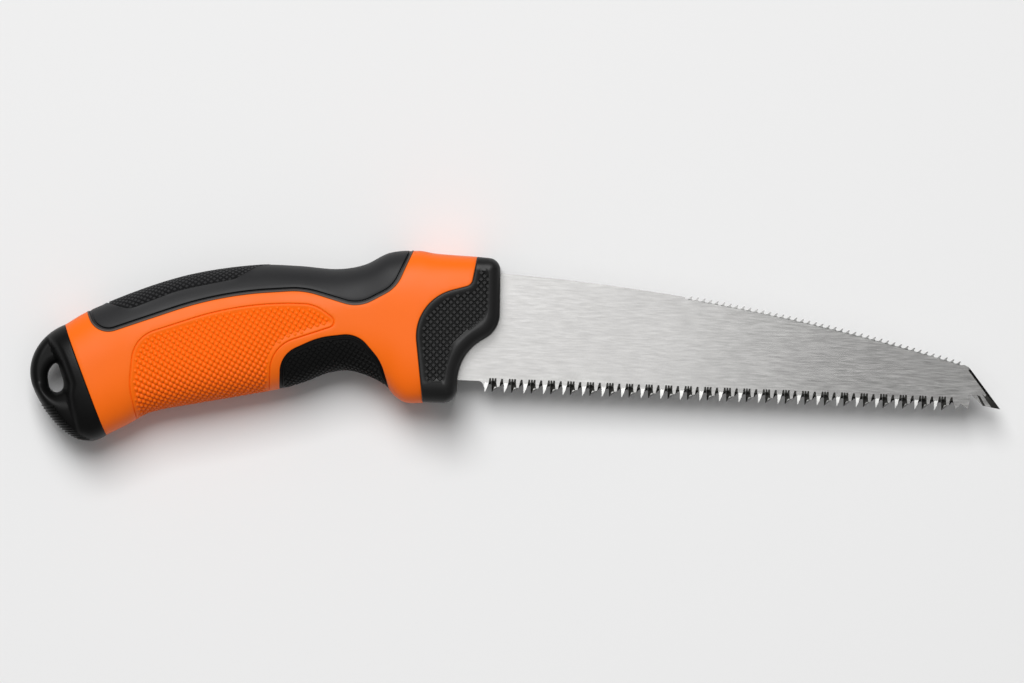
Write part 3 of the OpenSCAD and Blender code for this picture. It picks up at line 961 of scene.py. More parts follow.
@dataclass
class Shells:
    """The two orange halves of the body, cut out round the grips and the guard."""

    form: HandleForm
    wardrobe: Wardrobe
    depth: float = 2.2
    edge: Profile = field(default_factory=lambda: Profile(((0.0, -0.16), (0.1, -0.045), (0.3, 0.0))))

    # Samples of a straight stretch of the border, and the distance between the points kept
    STRAIGHT_SAMPLES = 400
    BORDER_STEP = 0.6

    def border(self, back: np.ndarray, guard: np.ndarray, finger: np.ndarray,
               palm: np.ndarray) -> np.ndarray:
        """The upper half's outline, from the lines of the pieces round it."""
        runs = [[(0.0, 0.0), back[0]], back, [back[-1], guard[0]], guard, [guard[-1], finger[0]], finger,
                [finger[-1], palm[0]], palm, [palm[-1], (0.0, 1.0)], [(0.0, 1.0), (0.0, 0.0)]]
        parts = []
        for run in runs:
            ends = np.array(run, float)
            if len(ends) == 2:
                fine = np.linspace(ends[0], ends[1], self.STRAIGHT_SAMPLES)
                ends = spaced(fine, lengths_along(self.form.point(*fine.T)), self.BORDER_STEP)
            parts.append(ends[:-1])
        return np.concatenate(parts)

    def build(self, border: np.ndarray) -> None:
        """Make the upper half and its mirror."""
        material = self.wardrobe.body.material()
        upper = SkinPatch(self.form, border, self.edge, self.depth).solid()
        hand_over(piece_of("left_body_shell", upper, [material]), Slot.BODY, "left_shell")
        lower = Solid(upper.points * FLIP, turned_over(upper.faces))
        hand_over(piece_of("right_body_shell", lower, [material]), Slot.BODY, "right_shell")


# A place well past the handle's outline
PAST = 60.0
# The guard's rear line, from the spine to the belly
GUARD_REAR: tuple[Corner, ...] = (
    (-7.8, 44.7, 0), (-9.3, 35.3, 2.6), (-28.8, 29.4, 16), (-24, -4.4, 0))


@dataclass
class SoftGrip:
    """A rubber grip let into the handle's skin: its outline, border profile and knurl.

    The knurl's lattice is laid along the rail, or along a level line where ref_y gives one. It fills the
    zone, or the whole grip where there is none, and keeps a band clear along the border.
    """

    form: HandleForm
    name: str
    node: str
    slot: Slot
    corners: tuple[Corner, ...]
    profile: Profile
    bump: Bump
    rail: Rail
    depth: float = 1.7
    band: float = 1.8
    sink: float = 0.3
    ref_y: float | None = None
    zone: tuple[Corner, ...] | None = None
    zone_profile: Profile | None = None
    lip_rings: int = 0

    # Reach of the lattice, of its part along a level line, and the rounds and samples that lay it
    LATTICE_REACH = 90.0
    LEVEL_REACH = 45.0
    LEVEL_ROUNDS = 8
    RAIL_SAMPLES = 600

    def __post_init__(self) -> None:
        """Trace the outline over the upper flank."""
        self.run = self.form.trace(self.corners)

    def wrapped(self, run: np.ndarray) -> np.ndarray:
        """A run over the upper flank, closed by its mirror over the lower flank."""
        over = 2 * self.rail.value
        mirrored = np.stack([run[::-1, 0], over - run[::-1, 1]], axis=1)
        return np.concatenate([run, mirrored[1:-1]])

    def lattice(self) -> tuple[np.ndarray, np.ndarray]:
        """Stations and girths of a square lattice, laid from the rail or from a level line."""
        along, down = self.bump.lattice(self.LATTICE_REACH).T
        if self.ref_y is None:
            every = np.linspace(0.0, self.form.body_l, self.RAIL_SAMPLES)
            lengths = lengths_along(self.form.point(every, np.full(len(every), self.rail.value)))
            lengths -= np.interp(self.run[:, 0].mean(), every, lengths)
            stations = np.interp(along, lengths, every)
            near = (along > lengths[0]) & (along < lengths[-1])
            girths = self.rail.value + down / self.form.girth_at(stations)
            return stations[near], girths[near]
        middle = self.form.point(*self.run.T)[:, 0].mean()
        x = middle + along
        near = (x > middle - self.LEVEL_REACH) & (x < middle + self.LEVEL_REACH)
        x, down = x[near], down[near]
        stations, girths, _ = self.form.locate(np.stack([x, np.full(len(x), self.ref_y)], axis=1))
        girths = girths + down / self.form.girth_at(stations)
        for _ in range(self.LEVEL_ROUNDS):
            off = x - self.form.point(stations, girths)[:, 0]
            stations = np.clip(stations + off, 0.0, self.form.body_l)
        upper = (girths > 0) & (girths < 1)
        stations, girths = stations[upper], girths[upper]
        return np.concatenate([stations, stations]), np.concatenate([girths, 2 - girths])

    def knurl_places(self, loop: np.ndarray) -> tuple[np.ndarray, np.ndarray]:
        """Lattice places inside a loop, clear of its line by the band."""
        stations, girths = self.lattice()
        flat = np.stack([stations, girths], axis=1) * PLANE
        line = loop * PLANE
        kept = inside(flat, line)
        kept[kept] = distance_to(flat[kept], line) > self.band
        return stations[kept], girths[kept]

    def build(self, knurl: Knurl, material: bpy.types.Material, *lip: bpy.types.Material) -> None:
        """Make the grip's skin and its knurl, with the lip in a lighter material where one is given, which
        paints a highlight on it.
        """
        border = self.wrapped(self.run)
        zone = None if self.zone is None else self.wrapped(self.form.trace(self.zone))
        patch = SkinPatch(self.form, border, self.profile, self.depth, sunk=zone,
                          sunk_profile=self.zone_profile, lip_rings=self.lip_rings)
        hand_over(piece_of(self.name, patch.solid(), [material, *lip]), self.slot, self.node)
        stations, girths = self.knurl_places(border if zone is None else zone)
        normal = self.form.normal(stations, girths)
        around = unit(self.form.slopes(stations, girths)[1])
        ahead = np.cross(around, normal)
        ahead *= np.sign(ahead[:, :1])
        side = np.where(np.mod(girths, 2.0) > 1, -1.0, 1.0)[:, None] if self.ref_y is not None else 1.0
        c, s = self.bump.way()
        ways = ahead * c + side * around * s
        feet = self.form.point(stations, girths) - normal * self.sink
        bumps = knurl.piece(self.name + "_knurl", feet, ways, normal, self.bump, material)
        hand_over(bumps, self.slot)


def back_grip(form: HandleForm) -> SoftGrip:
    """The dark grey grip over the spine, with a fine lip in a lighter colour that paints a highlight, a
    groove inside it and a knurled heel.
    """
    return SoftGrip(
        form, "back_grip_pad", "back_grip", Slot.BACK,
        ((-139.5, 27, 0), (-133.1, 13, 7), (-92.5, 28.4, 120), (-65, 31.2, 26), (-46.5, 26.1, 12),
         (-34.2, 33.2, 12), (-29, 46, 0), (-29, PAST, 0), (-139.5, PAST, 0)),
        Profile(((0.0, -0.1), (0.08, 0.12), (0.6, 0.02), (0.68, -0.95), (1.42, -1.0), (1.55, -0.05),
                 (1.9, 0.04), (2.7, 0.05))),
        Bump(1.5, 1.4, 0.85, 0.62, 45), Rail.SPINE, band=0.5, sink=0.45, lip_rings=3,
        zone=((-132, 24.7, 0), (-122.6, 22.3, 8), (-107, 29.2, 60), (-87.5, 34.0, 6), (-80.8, 38.4, 4),
              (-74, 40.2, 0), (-74, PAST, 0), (-132, PAST, 0)),
        zone_profile=Profile(((0.0, 0.2), (0.25, 0.05), (0.4, -0.62))))


def palm_grip(form: HandleForm) -> SoftGrip:
    """The orange palm pad, parted from the body by a fine groove."""
    return SoftGrip(
        form, "palm_grip_pad", "palm_grip", Slot.PALM,
        ((-107.3, -PAST, 0), (-74.9, -PAST, 0), (-74.9, 12, 11), (-51.7, 20.6, 2.2), (-61, 26.9, 12),
         (-84.2, 26.9, 105), (-120.7, 13.5, 11), (-121.7, -3, 25)),
        Profile(((0.0, -0.5), (0.24, -0.42), (0.38, -0.06), (0.6, 0.0), (0.9, -0.02), (1.6, -0.3),
                 (2.4, -0.64))),
        Bump(1.6, 1.54, 0.75, 0.66, 28, sharp_deg=75), Rail.BELLY, band=1.35, sink=0.66, ref_y=12.0)


def finger_grip(form: HandleForm) -> SoftGrip:
    """The black grip in the finger arch: a smooth rim round a knurled bed."""
    return SoftGrip(
        form, "finger_grip_pad", "finger_grip", Slot.FINGER,
        ((-71.8, -PAST, 0), (-15.5, -PAST, 0), (-38.5, 8.9, 16), (-46.6, 17.8, 9), (-59.2, 15.9, 25),
         (-71.8, 9.6, 9)),
        Profile(((0.0, -0.35), (0.15, -0.9), (0.95, -0.9), (1.1, -0.15), (1.3, 0.04), (1.5, 0.02),
                 (1.7, -0.36))),
        Bump(1.5, 1.44, 0.75, 0.4, 30), Rail.BELLY, band=1.9, sink=0.38, ref_y=8.0)


# Front guard


@dataclass
class FrontGuard:
    """The black collar at the blade's root, with a knurled field on each flank."""

    half: float = 14.5
    edge_r: float = 3.8
    rear_r: float = 0.6
    low_round: tuple[float, float] = (2.2, 7.0)
    top_round: tuple[float, float] = (40.4, 4.2)
    blend: float = 3.0
    slot_half: float = 0.85
    slot_depth: float = 2.5
    slot_span: tuple[float, float] = (3.0, 40.2)
    slot_rear: float = -13.2
    plain_ends: tuple[float, float] = (-3.0, 43.5)
    rear_near: float = 0.3
    sink: float = 0.52
    bed_wall: float = 0.7
    knurl_gap: float = 0.25
    lattice_reach: float = 40.0
    step: float = 0.5
    spacing: float = 1.2
    front: tuple[Corner, ...] = ((-12.9, -4.2, 4.5), (-12.6, 12.3, 16.5), (0.65, 20.7, 9.5), (0, 44.3, 4))
    rear: tuple[Corner, ...] = GUARD_REAR
    field_line: tuple[Corner, ...] = (
        (-17.2, 2.6, 1), (-14.7, 15.2, 5), (-3.35, 25.2, 7.5), (-3.6, 39.9, 1), (-6.8, 40.4, 1),
        (-7.8, 34, 4), (-27.2, 27.4, 14.5), (-23, 2.3, 1))
    bump: Bump = Bump(1.56, 1.48, 0.95, 0.5, 46.5)
    rings: tuple[float, ...] = (0.0, 0.015, 0.06, 0.15, 0.28, 0.45, 0.66, 1.0)

    # Part of a rounding that a flank may run down, short of its upright end
    ROUND_SHARE = 0.98

    def radii(self, outline: np.ndarray) -> np.ndarray:
        """Edge radius at each point of the outline: large along the front edge, small elsewhere."""
        rear = rounded((*self.rear, (PAST, -PAST, 0), (PAST, PAST, 0)))
        off_rear = np.min(np.linalg.norm(outline[:, None] - rear[None], axis=2), axis=1)
        y = outline[:, 1]
        low, high = self.plain_ends
        plain = (off_rear < self.rear_near) | (y < low) | (y > high)
        sizes = np.where(plain, self.rear_r, self.edge_r)
        reach = int(self.blend / self.step)
        padded = np.concatenate([sizes[-reach:], sizes, sizes[:reach]])
        return np.convolve(padded, np.ones(2 * reach + 1) / (2 * reach + 1), "valid")

    def fall(self, y: np.ndarray) -> np.ndarray:
        """How far the flank rounds down towards the belly and the spine."""
        drop = np.zeros(len(y))
        for (start, radius), way in ((self.low_round, -1.0), (self.top_round, 1.0)):
            past = np.clip((y - start) * way, 0.0, self.ROUND_SHARE * radius)
            drop += radius - np.sqrt(radius ** 2 - past ** 2)
        return drop

    def build(self, material: bpy.types.Material, knurl: Knurl) -> None:
        """Make the collar and its knurl."""
        outline = rounded((*self.front, *self.rear), self.step)
        radii = self.radii(outline)
        bed = rounded(self.field_line, self.step)
        loops, heights = [], []
        for share in self.rings:
            loops.append(inset(outline, radii * share))
            heights.append(self.half - radii * (1 - math.sqrt(1 - (1 - share) ** 2)))
        for by, lift in ((0.0, 0.0), (self.bed_wall, -self.sink)):
            loops.append(inset(bed, by))
            heights.append(np.full(len(bed), self.half + lift))
        points = grid_in(loops[len(self.rings) - 1], self.spacing, loops)
        levels = np.where(inside(points, bed), self.half - self.sink, self.half)
        flat = triangulated(loops, points)
        z = np.concatenate([*heights, levels])[flat.sources] - self.fall(flat.points[:, 1])
        top = np.column_stack([flat.points, z])
        collar = piece_of("front_guard_collar", self.collar(top, flat), [material])
        hand_over(collar, Slot.GUARD, "front_guard")
        self.dress(bed, material, knurl)

    def collar(self, top: np.ndarray, flat: Flat) -> Solid:
        """Close the two flanks with a wall, which has the blade's slot in the front face."""
        n = len(top)
        rim = rim_edges(flat.faces)
        order = {a: b for a, b in rim}
        wall = [rim[0][0]]
        while order[wall[-1]] != wall[0]:
            wall.append(order[wall[-1]])
        line = flat.points[wall]
        low, high = self.slot_span
        front = (line[:, 1] > low) & (line[:, 1] < high) & (line[:, 0] > self.slot_rear)
        deep = inset(line, np.where(front, self.slot_depth, 0.0))
        lip = np.column_stack([line, np.full(len(line), self.slot_half)])
        bed = np.column_stack([deep, np.full(len(line), self.slot_half)])
        points = np.concatenate([top, top * FLIP, lip, bed, bed * FLIP, lip * FLIP])
        starts = [2 * n + k * len(wall) for k in range(4)]
        rows = [wall, *([s + k for k in range(len(wall))] for s in starts), [n + i for i in wall]]
        faces = [*flat.faces, *turned_over(flat.faces, n)]
        for upper, lower in zip(rows, rows[1:]):
            faces.extend((upper[k], upper[k - 1], lower[k - 1], lower[k]) for k in range(len(wall)))
        return Solid(points, faces)

    def dress(self, bed: np.ndarray, material: bpy.types.Material, knurl: Knurl) -> None:
        """Set diamond bumps in the field of both flanks."""
        flat = self.bump.lattice(self.lattice_reach) + bed.mean(axis=0)
        flat = flat[inside(flat, bed)]
        flat = flat[distance_to(flat, bed) > self.knurl_gap]
        upper = np.column_stack([flat, np.full(len(flat), self.half - self.sink)])
        feet = np.concatenate([upper, upper * FLIP])
        ways = np.tile([*self.bump.way(), 0.0], (len(feet), 1))
        normals = np.sign(feet * (0.0, 0.0, 1.0))
        bumps = knurl.piece("front_guard_knurl", feet, ways, normals, self.bump, material)
        hand_over(bumps, Slot.GUARD)


# Butt cap


@dataclass
class ButtCap:
    """The black cap on the butt, with a hanging eye in a dished side and ribs on its lower edge."""

    seam_top: tuple[float, float] = (-144.0, 16.7)
    seam_bottom: tuple[float, float] = (-128.8, -19.5)
    length: float = 17.4
    bulge: float = 2.0
    crown: float = 15.5
    half: float = 13.0
    full: float = 0.75
    power: float = 2.6
    eye: tuple[Corner, ...] = ((-148.5, -6.1, 3), (-143.9, -6, 2.4), (-143.7, -2.5, 5), (-146.3, 5, 1.2),
                               (-149.6, 0.6, 5))
    wall: tuple[tuple[float, float], tuple[float, float]] = ((-143.5, -4.2), (-149.2, 11.5))
    eye_edge: float = 2.6
    loop_r: float = 2.8
    wall_rise: float = 2.2
    low_y: float = -2.5
    low_span: float = 5.0
    low_r: float = 7.0
    soften: float = 3.0
    crest: float = 1.6
    seam_round: float = 0.5
    rib_step: float = 1.2
    rib_r: float = 0.28
    rib_reach: float = 4.2
    rib_turns: tuple[float, float] = (0.58, 1.27)
    rib_sink: float = 0.33
    rib_ramp: float = 3.0
    rings: tuple[float, ...] = (0.0, 0.02, 0.08, 0.2, 0.4, 0.7, 1.1, 1.6)
    spacing: float = 0.45
    outline_step: float = 0.35
    eye_step: float = 0.3
    sharp_deg: float = 50.0

    # Distance at which a point counts as on the seam, and the share of a ring's inset that it keeps
    SEAM_NEAR = 0.02
    SEAM_SHARE = 0.35
    # Samples of the side outline, of the ribbed edge and of half a rib
    OUTLINE_SAMPLES = 160
    EDGE_SAMPLES = 60
    RIB_SAMPLES = 28

    def __post_init__(self) -> None:
        """Work out the seam's directions."""
        top, bottom = np.array(self.seam_top), np.array(self.seam_bottom)
        self.top = top
        self.seam_h = float(np.linalg.norm(bottom - top))
        self.down = (bottom - top) / self.seam_h
        self.out = np.array([self.down[1], -self.down[0]])

    def ends(self, out: np.ndarray) -> tuple[np.ndarray, np.ndarray]:
        """Upper and lower end of the cap along the seam's direction, at distances from the seam."""
        share = np.clip(out / self.length, 0.0, 1.0)
        turn = np.sqrt(1 - share ** 2)
        sunk = self.rib_sink * np.clip(out / self.rib_ramp, 0.0, 1.0)
        swell = 4 * self.bulge * share * (1 - share) - sunk
        return self.crown * (1 - turn), self.crown + (self.seam_h - self.crown) * turn + swell

    def place(self, out: np.ndarray, down: np.ndarray) -> np.ndarray:
        """Drawing places at distances from the seam and along it."""
        return self.top + np.outer(out, self.out) + np.outer(down, self.down)

    def outline(self) -> np.ndarray:
        """The cap's side outline, anticlockwise from the seam's top."""
        out = self.length * np.sin(np.linspace(0.0, math.pi / 2, self.OUTLINE_SAMPLES))
        high, low = self.ends(out)
        line = np.concatenate([self.place(out, high), self.place(out[::-1], low[::-1])[1:], [self.top]])
        return spaced(line, lengths_along(line), self.outline_step)[:-1]

    def form_height(self, flat: np.ndarray) -> np.ndarray:
        """Half thickness of the undished cap at side view places."""
        out = (flat - self.top) @ self.out
        down = (flat - self.top) @ self.down
        high, low = self.ends(out)
        half_h = np.maximum((low - high) / 2, SLIGHT)
        share = np.clip(np.abs(down - (high + low) / 2) / half_h, 0.0, 1.0)
        turn = np.sqrt(1 - np.clip(out / self.length, 0.0, 1.0) ** 2)
        return self.half * turn ** self.full * (1 - share ** self.power) ** (1 / self.power)

    def height(self, flat: np.ndarray) -> np.ndarray:
        """Half thickness with the dish let in and the eye's edge rounded."""
        form = self.form_height(flat)
        inner, outer = distance_to(flat, rounded(self.eye)), distance_to(flat, self.outline())
        low = np.clip((self.low_y - flat[:, 1]) / self.low_span, 0.0, 1.0)
        low = low * low * (3 - 2 * low)
        radius = self.loop_r + (self.low_r - self.loop_r) * low
        least = soft_min(outer, inner, self.crest)
        near = np.clip((least * (1 - low) + inner * low) / radius, 0.0, 1.0)
        foot, head = np.array(self.wall)
        along = unit(head - foot)
        past_wall = np.maximum((flat - foot) @ np.array([along[1], -along[0]]), 0.0)
        floor = self.eye_edge + radius * np.sqrt(1 - (1 - near) ** 2) + self.wall_rise * past_wall
        level = np.maximum(soft_min(floor, form, self.soften), 0.0)
        near = np.clip(1 - (flat - self.top) @ self.out / self.seam_round, 0.0, 1.0)
        return level - self.seam_round * (1 - np.sqrt(1 - near ** 2)) * (level > self.seam_round)

    def build(self, material: bpy.types.Material) -> None:
        """Make the cap and its ribs."""
        outline, eye = self.outline(), rounded(self.eye, self.eye_step)
        on_seam = np.abs((outline - self.top) @ self.out) < self.SEAM_NEAR
        loops = [inset(outline, np.where(on_seam, self.SEAM_SHARE * by, by)) for by in self.rings]
        hole = [inset(eye, -by) for by in self.rings]
        points = grid_in(loops[-1], self.spacing, [*loops, *hole])
        points = points[~inside(points, eye)]
        flat = triangulated([*loops, *hole], points)
        faces = [face for face, gone in zip(flat.faces, inside(flat.middles(), eye)) if not gone]
        top = np.column_stack([flat.points, self.height(flat.points)])
        made = piece_of("butt_cap_eye", closed(top, top * FLIP, faces), [material], self.sharp_deg)
        hand_over(made, Slot.CAP, "butt_cap")
        self.dress(material)

    def rib_lines(self) -> list[np.ndarray]:
        """Lines of the ribs, each from one flank round the cap's lower edge to the other."""
        out = self.length * np.sin(np.linspace(*self.rib_turns, self.EDGE_SAMPLES))
        edge = self.place(out, self.ends(out)[1])
        lines = []
        for foot in spaced(edge, lengths_along(edge), self.rib_step):
            share = np.linspace(1.0, 0.0, self.RIB_SAMPLES)
            flat = foot + np.outer(self.rib_reach * share ** 2, [1.0, 0.0])
            upper = np.column_stack([flat, self.form_height(flat) - self.rib_r * share ** 4])
            lines.append(np.concatenate([upper, upper[-2::-1] * FLIP]))
        return lines

    def dress(self, material: bpy.types.Material) -> None:
        """Sweep a round rib along each line."""
        points, edges = [], []
        for line in self.rib_lines():
            start = sum(len(p) for p in points)
            edges.extend((start + k, start + k + 1) for k in range(len(line) - 1))
            points.append(line)
        made = plain_object("butt_cap_ribs", np.concatenate(points), [], edges)
        shape = ShapeTree("rib_sweep")
        shape.ask(Radius="Float", Finish="Material")
        graph, value = shape.graph, shape.value
        curve = graph.out("GeometryNodeMeshToCurve", {"Mesh": value("Geometry")})
        ring = graph.out("GeometryNodeCurvePrimitiveCircle", {"Resolution": 8, "Radius": value("Radius")})
        shape.finish_dressed(graph.out("GeometryNodeCurveToMesh", {
            "Curve": curve, "Profile Curve": ring, "Fill Caps": True}))
        shape.apply(made, Radius=self.rib_r * MM, Finish=material)
        smoothed(made, self.sharp_deg)
        hand_over(made, Slot.CAP)


# Blade


@dataclass(frozen=True)
class Facet:
    """A ground face of a tooth: its colour, a painted highlight on bright faces and painted shade on dark
    ones, and its corners with their heights over the blade's middle.
    """

    ground: Ground
    corners: tuple[Corner, ...]


@dataclass
class Blade:
    """The steel blade: a flat sheet, ground teeth below, fine teeth on the back and a chisel nose."""

    reach: float = BLADE_REACH
    half: float = 0.6
    height: float = 39.65
    fall: float = 0.0433
    plain_back: float = 62.0
    nose_h: float = 15.0
    nose_l: float = 10.6
    heel_h: float = 3.5
    root_l: float = 20.0
    group_l: float = 6.52
    first_tip: float = -3.6
    groups: int = 24
    seam_y: float = 5.4
    seam_x: float = -0.3
    heel_r: float = 2.0
    fine_pitch: float = 2.2
    fine_h: float = 1.1
    fine_rise: float = 0.6
    fine_stop: float = 3.0
    edge: float = 0.08
    tail_y: float = 3.5
    sharp_deg: float = 12.0
    tooth_line: tuple[tuple[float, float], ...] = (
        (-0.13, 2.6), (0.0, 0.0), (0.2, 0.02), (0.85, 1.47), (1.3, 2.3), (1.6, 2.6), (2.1, 2.6), (2.32, 2.3),
        (2.42, 0.02), (2.56, 0.02), (4.9, 1.85), (5.2, 1.95), (5.75, 2.75), (6.15, 2.6))
    tip_edge: tuple[tuple[float, float], ...] = (
        (15.0, 0.4), (13.2, 2.4), (10.7, 0.8), (10.1, 5.7), (5.7, 2.0), (0.0, 1.1))
    nose_corner: tuple[tuple[float, float], ...] = ((10.4, 14.05), (11.1, 14.75), (12.4, 15.4))
    # Outline of a fine tooth, in shares of the pitch and of the height
    fine_line: tuple[tuple[float, float], ...] = (
        (0.4, -0.15), (0.4, 0.0), (0.55, 0.12), (0.68, 0.45), (0.84, 0.88), (0.92, 1.0), (1.02, 1.0),
        (1.04, 0.88), (0.97, 0.45), (0.99, 0.18), (1.08, 0.0), (1.08, -0.15))

    # Distance at which two points are one, and samples of the heel, the toothed back and the plain back
    SAME_PLACE = 1e-4
    HEEL_SAMPLES = 8
    TOOTHED_SAMPLES = 40
    PLAIN_SAMPLES = 16

    @property
    def nose_x(self) -> float:
        """Where the back meets the nose."""
        return self.reach - self.nose_l

    @property
    def drop(self) -> float:
        """How far the back has bent below its straight fall at the nose."""
        return self.height - self.fall * self.nose_x - self.nose_h

    def back_at(self, x: np.ndarray) -> np.ndarray:
        """Height of the blade's back over the tooth line."""
        return self.height - self.fall * x - self.drop * (x / self.nose_x) ** 2

    def facets(self) -> tuple[Facet, ...]:
        """Ground faces of one group: a bright tooth, a dark cluster in two parts and a dark arrow, whose
        bright and dark colours are a painted highlight and painted shade.
        """
        full, blunt, thin = self.half, 0.5, self.edge
        return (
            Facet(Ground.BRIGHT_PAINTED_HIGHLIGHT, ((-0.13, 2.6, full), (0.0, 0.0, blunt), (0.2, 0.02, blunt),
                                  (0.85, 1.47, full), (1.2, 3.2, full), (0.6, 2.95, full),
                                  (0.2, 3.2, full))),
            Facet(Ground.DARK, ((0.85, 1.47, full), (1.3, 2.3, full), (1.6, 2.6, thin), (2.1, 2.6, thin),
                                (2.16, 3.6, full), (2.05, 4.6, full), (1.5, 4.6, full), (1.25, 3.0, full))),
            Facet(Ground.DARK, ((2.32, 2.3, thin), (2.42, 0.02, thin), (2.56, 0.02, thin), (3.0, 1.1, full),
                                (3.35, 1.75, full), (4.1, 1.7, full), (3.9, 3.0, full), (3.85, 4.6, full),
                                (3.25, 4.6, full), (3.05, 3.6, full), (2.9, 4.6, full), (2.35, 4.6, full),
                                (2.26, 3.6, full))),
            Facet(Ground.DARK, ((4.9, 1.85, full), (5.2, 1.95, full), (5.75, 2.75, thin), (6.15, 2.6, thin),
                                (6.15, 3.4, full), (6.05, 4.5, full), (5.45, 4.5, full), (5.1, 3.2, full))),
        )

    def build(self, wardrobe: Wardrobe) -> None:
        """Make the sheet, the tooth groups and the fine teeth."""
        materials = [wardrobe.blade.material(), wardrobe.bright.material(), wardrobe.dark_painted_shade.material()]
        hand_over(piece_of("blade_sheet", self.sheet(), materials, self.sharp_deg), Slot.BLADE, "blade")
        hand_over(self.large_teeth(materials), Slot.BLADE)
        hand_over(self.fine_teeth(materials[Ground.FLAT.value]), Slot.BLADE)

    def faceted(self, outline: np.ndarray, facets: Sequence[Facet]) -> Solid:
        """A flat steel solid with ground faces on both sides.

        Args:
            outline: Closed side outline.
            facets: Ground faces inside it.

        Returns:
            The solid, with a number on each face that picks plain steel, painted highlight or painted shade.
        """
        corners = [np.array(facet.corners) for facet in facets]
        lines = [places[:, :2] for places in corners]
        known = np.concatenate([np.full(len(outline), self.half), *(places[:, 2] for places in corners)])
        given = np.concatenate([outline, *lines])
        flat = triangulated([outline, *lines], np.empty((0, 2)))
        z = np.array([known[np.linalg.norm(given - p, axis=1) < self.SAME_PLACE].min(initial=self.half)
                      for p in flat.points])
        top = np.column_stack([flat.points, z])
        middles = flat.middles()
        kinds = np.zeros(len(middles), int)
        for facet, line in zip(facets, lines):
            kinds[inside(middles, line)] = facet.ground.value
        return closed(top, top * FLIP, flat.faces, kinds.tolist())

    def sheet(self) -> Solid:
        """The blade's flat body, from the root in the guard to the nose."""
        start = self.first_tip + self.seam_x
        end = start + self.groups * self.group_l
        heel = [(start + self.heel_r * (math.sin(a) - 1), self.heel_h + self.heel_r * (math.cos(a) - 1))
                for a in np.linspace(0.0, math.pi / 2, self.HEEL_SAMPLES)]
        first_x, first_y = self.tooth_line[0]
        lower = [(-self.root_l, self.heel_h), *heel,
                 (self.first_tip + first_x / 2, self.heel_h - self.heel_r),
                 (self.first_tip + first_x, first_y), (start, first_y), (start, self.seam_y),
                 (end, self.seam_y), (end, self.tail_y)]
        nose = [(self.reach - back, y) for back, y in self.tip_edge]
        xs = np.linspace(self.nose_x - self.fine_stop, self.plain_back, self.TOOTHED_SAMPLES)
        sunk = self.back_at(xs) + self.fine_rise - self.fine_h
        plain = np.linspace(self.plain_back, 0.0, self.PLAIN_SAMPLES)
        corner = [(self.reach - back, y) for back, y in self.nose_corner]
        back = [*corner, *zip(xs, sunk), *zip(plain, self.back_at(plain))]
        outline = np.array([*lower, *nose, *back, (-self.root_l, self.height)])
        return self.faceted(outline, self.nose_facets())

    def nose_facets(self) -> tuple[Facet, ...]:
        """The chisel bevel along the nose, which widens into a streaked grind at the point, both in the
        near-black steel that paints shade on them.
        """
        tip = self.reach
        full, thin = self.half, self.edge
        return (
            Facet(Ground.DARK, ((tip - 10.4, 14.05, thin), (tip - 11.1, 13.6, full), (tip - 4.8, 5.75, full),
                                (tip - 5.2, 5.1, full), (tip - 6.3, 6.0, full), (tip - 3.9, 2.8, full),
                                (tip - 2.9, 1.55, thin), (tip, 1.1, thin))),
            Facet(Ground.DARK, ((tip - 8.0, 5.6, full), (tip - 5.9, 2.1, full), (tip - 4.9, 1.87, thin),
                                (tip - 6.9, 5.2, full))),
        )

    def large_teeth(self, materials: Sequence[bpy.types.Material]) -> bpy.types.Object:
        """The groups of three ground teeth, repeated along the edge."""
        right = self.seam_x + self.group_l
        root = self.tooth_line[0][1]
        outline = np.array([(self.seam_x, self.seam_y), (self.seam_x, root), *self.tooth_line,
                            (right, root), (right, self.seam_y)])
        group = self.faceted(outline, self.facets())
        group.points[:, 0] += self.first_tip
        made = plain_object("blade_teeth", group.points, group.faces)
        mark = made.data.attributes.new("ground", "INT", "FACE")
        mark.data.foreach_set("value", group.kinds)
        shape = ShapeTree("tooth_row")
        shape.ask(Groups="Int", Pitch="Float", **{ground.name: "Material" for ground in Ground})
        graph, value = shape.graph, shape.value
        step = graph.out("ShaderNodeCombineXYZ", {"X": value("Pitch")})
        row = graph.out("GeometryNodeMeshLine", {"Count": value("Groups"), "Offset": step})
        many = graph.out("GeometryNodeInstanceOnPoints", {"Points": row, "Instance": value("Geometry")})
        teeth = graph.out("GeometryNodeRealizeInstances", {"Geometry": many})
        kind = graph.out("GeometryNodeInputNamedAttribute", {"Name": "ground"}, "Attribute", data_type="INT")
        for ground in Ground:
            same = graph.out("FunctionNodeCompare", {2: kind, 3: ground.value}, data_type="INT",
                             operation="EQUAL")
            teeth = graph.out("GeometryNodeSetMaterial", {
                "Geometry": teeth, "Selection": same, "Material": value(ground.name)})
        shape.finish(teeth)
        finishes = {ground.name: materials[ground.value] for ground in Ground}
        shape.apply(made, Groups=self.groups, Pitch=self.group_l * MM, **finishes)
        smoothed(made, self.sharp_deg)
        return made

    def fine_teeth(self, material: bpy.types.Material) -> bpy.types.Object:
        """The fine teeth along the falling back."""
        count = int((self.nose_x - self.fine_stop - self.plain_back) / self.fine_pitch)
        solid = self.faceted(np.array(self.fine_line) * (self.fine_pitch, self.fine_h), ())
        made = plain_object("blade_fine_teeth", solid.points - ORIGIN, solid.faces)
        shape = ShapeTree("fine_tooth_row")
        shape.ask(Count="Int", Pitch="Float", Start="Float", Slope="Float", Bend="Float", Corner="Vector",
                  Finish="Material")
        graph, value = shape.graph, shape.value

        def sum_of(kind: str, a: object, b: object) -> bpy.types.NodeSocket:
            """A sum or a product of two values."""
            return graph.out("ShaderNodeMath", {0: a, 1: b}, operation=kind)

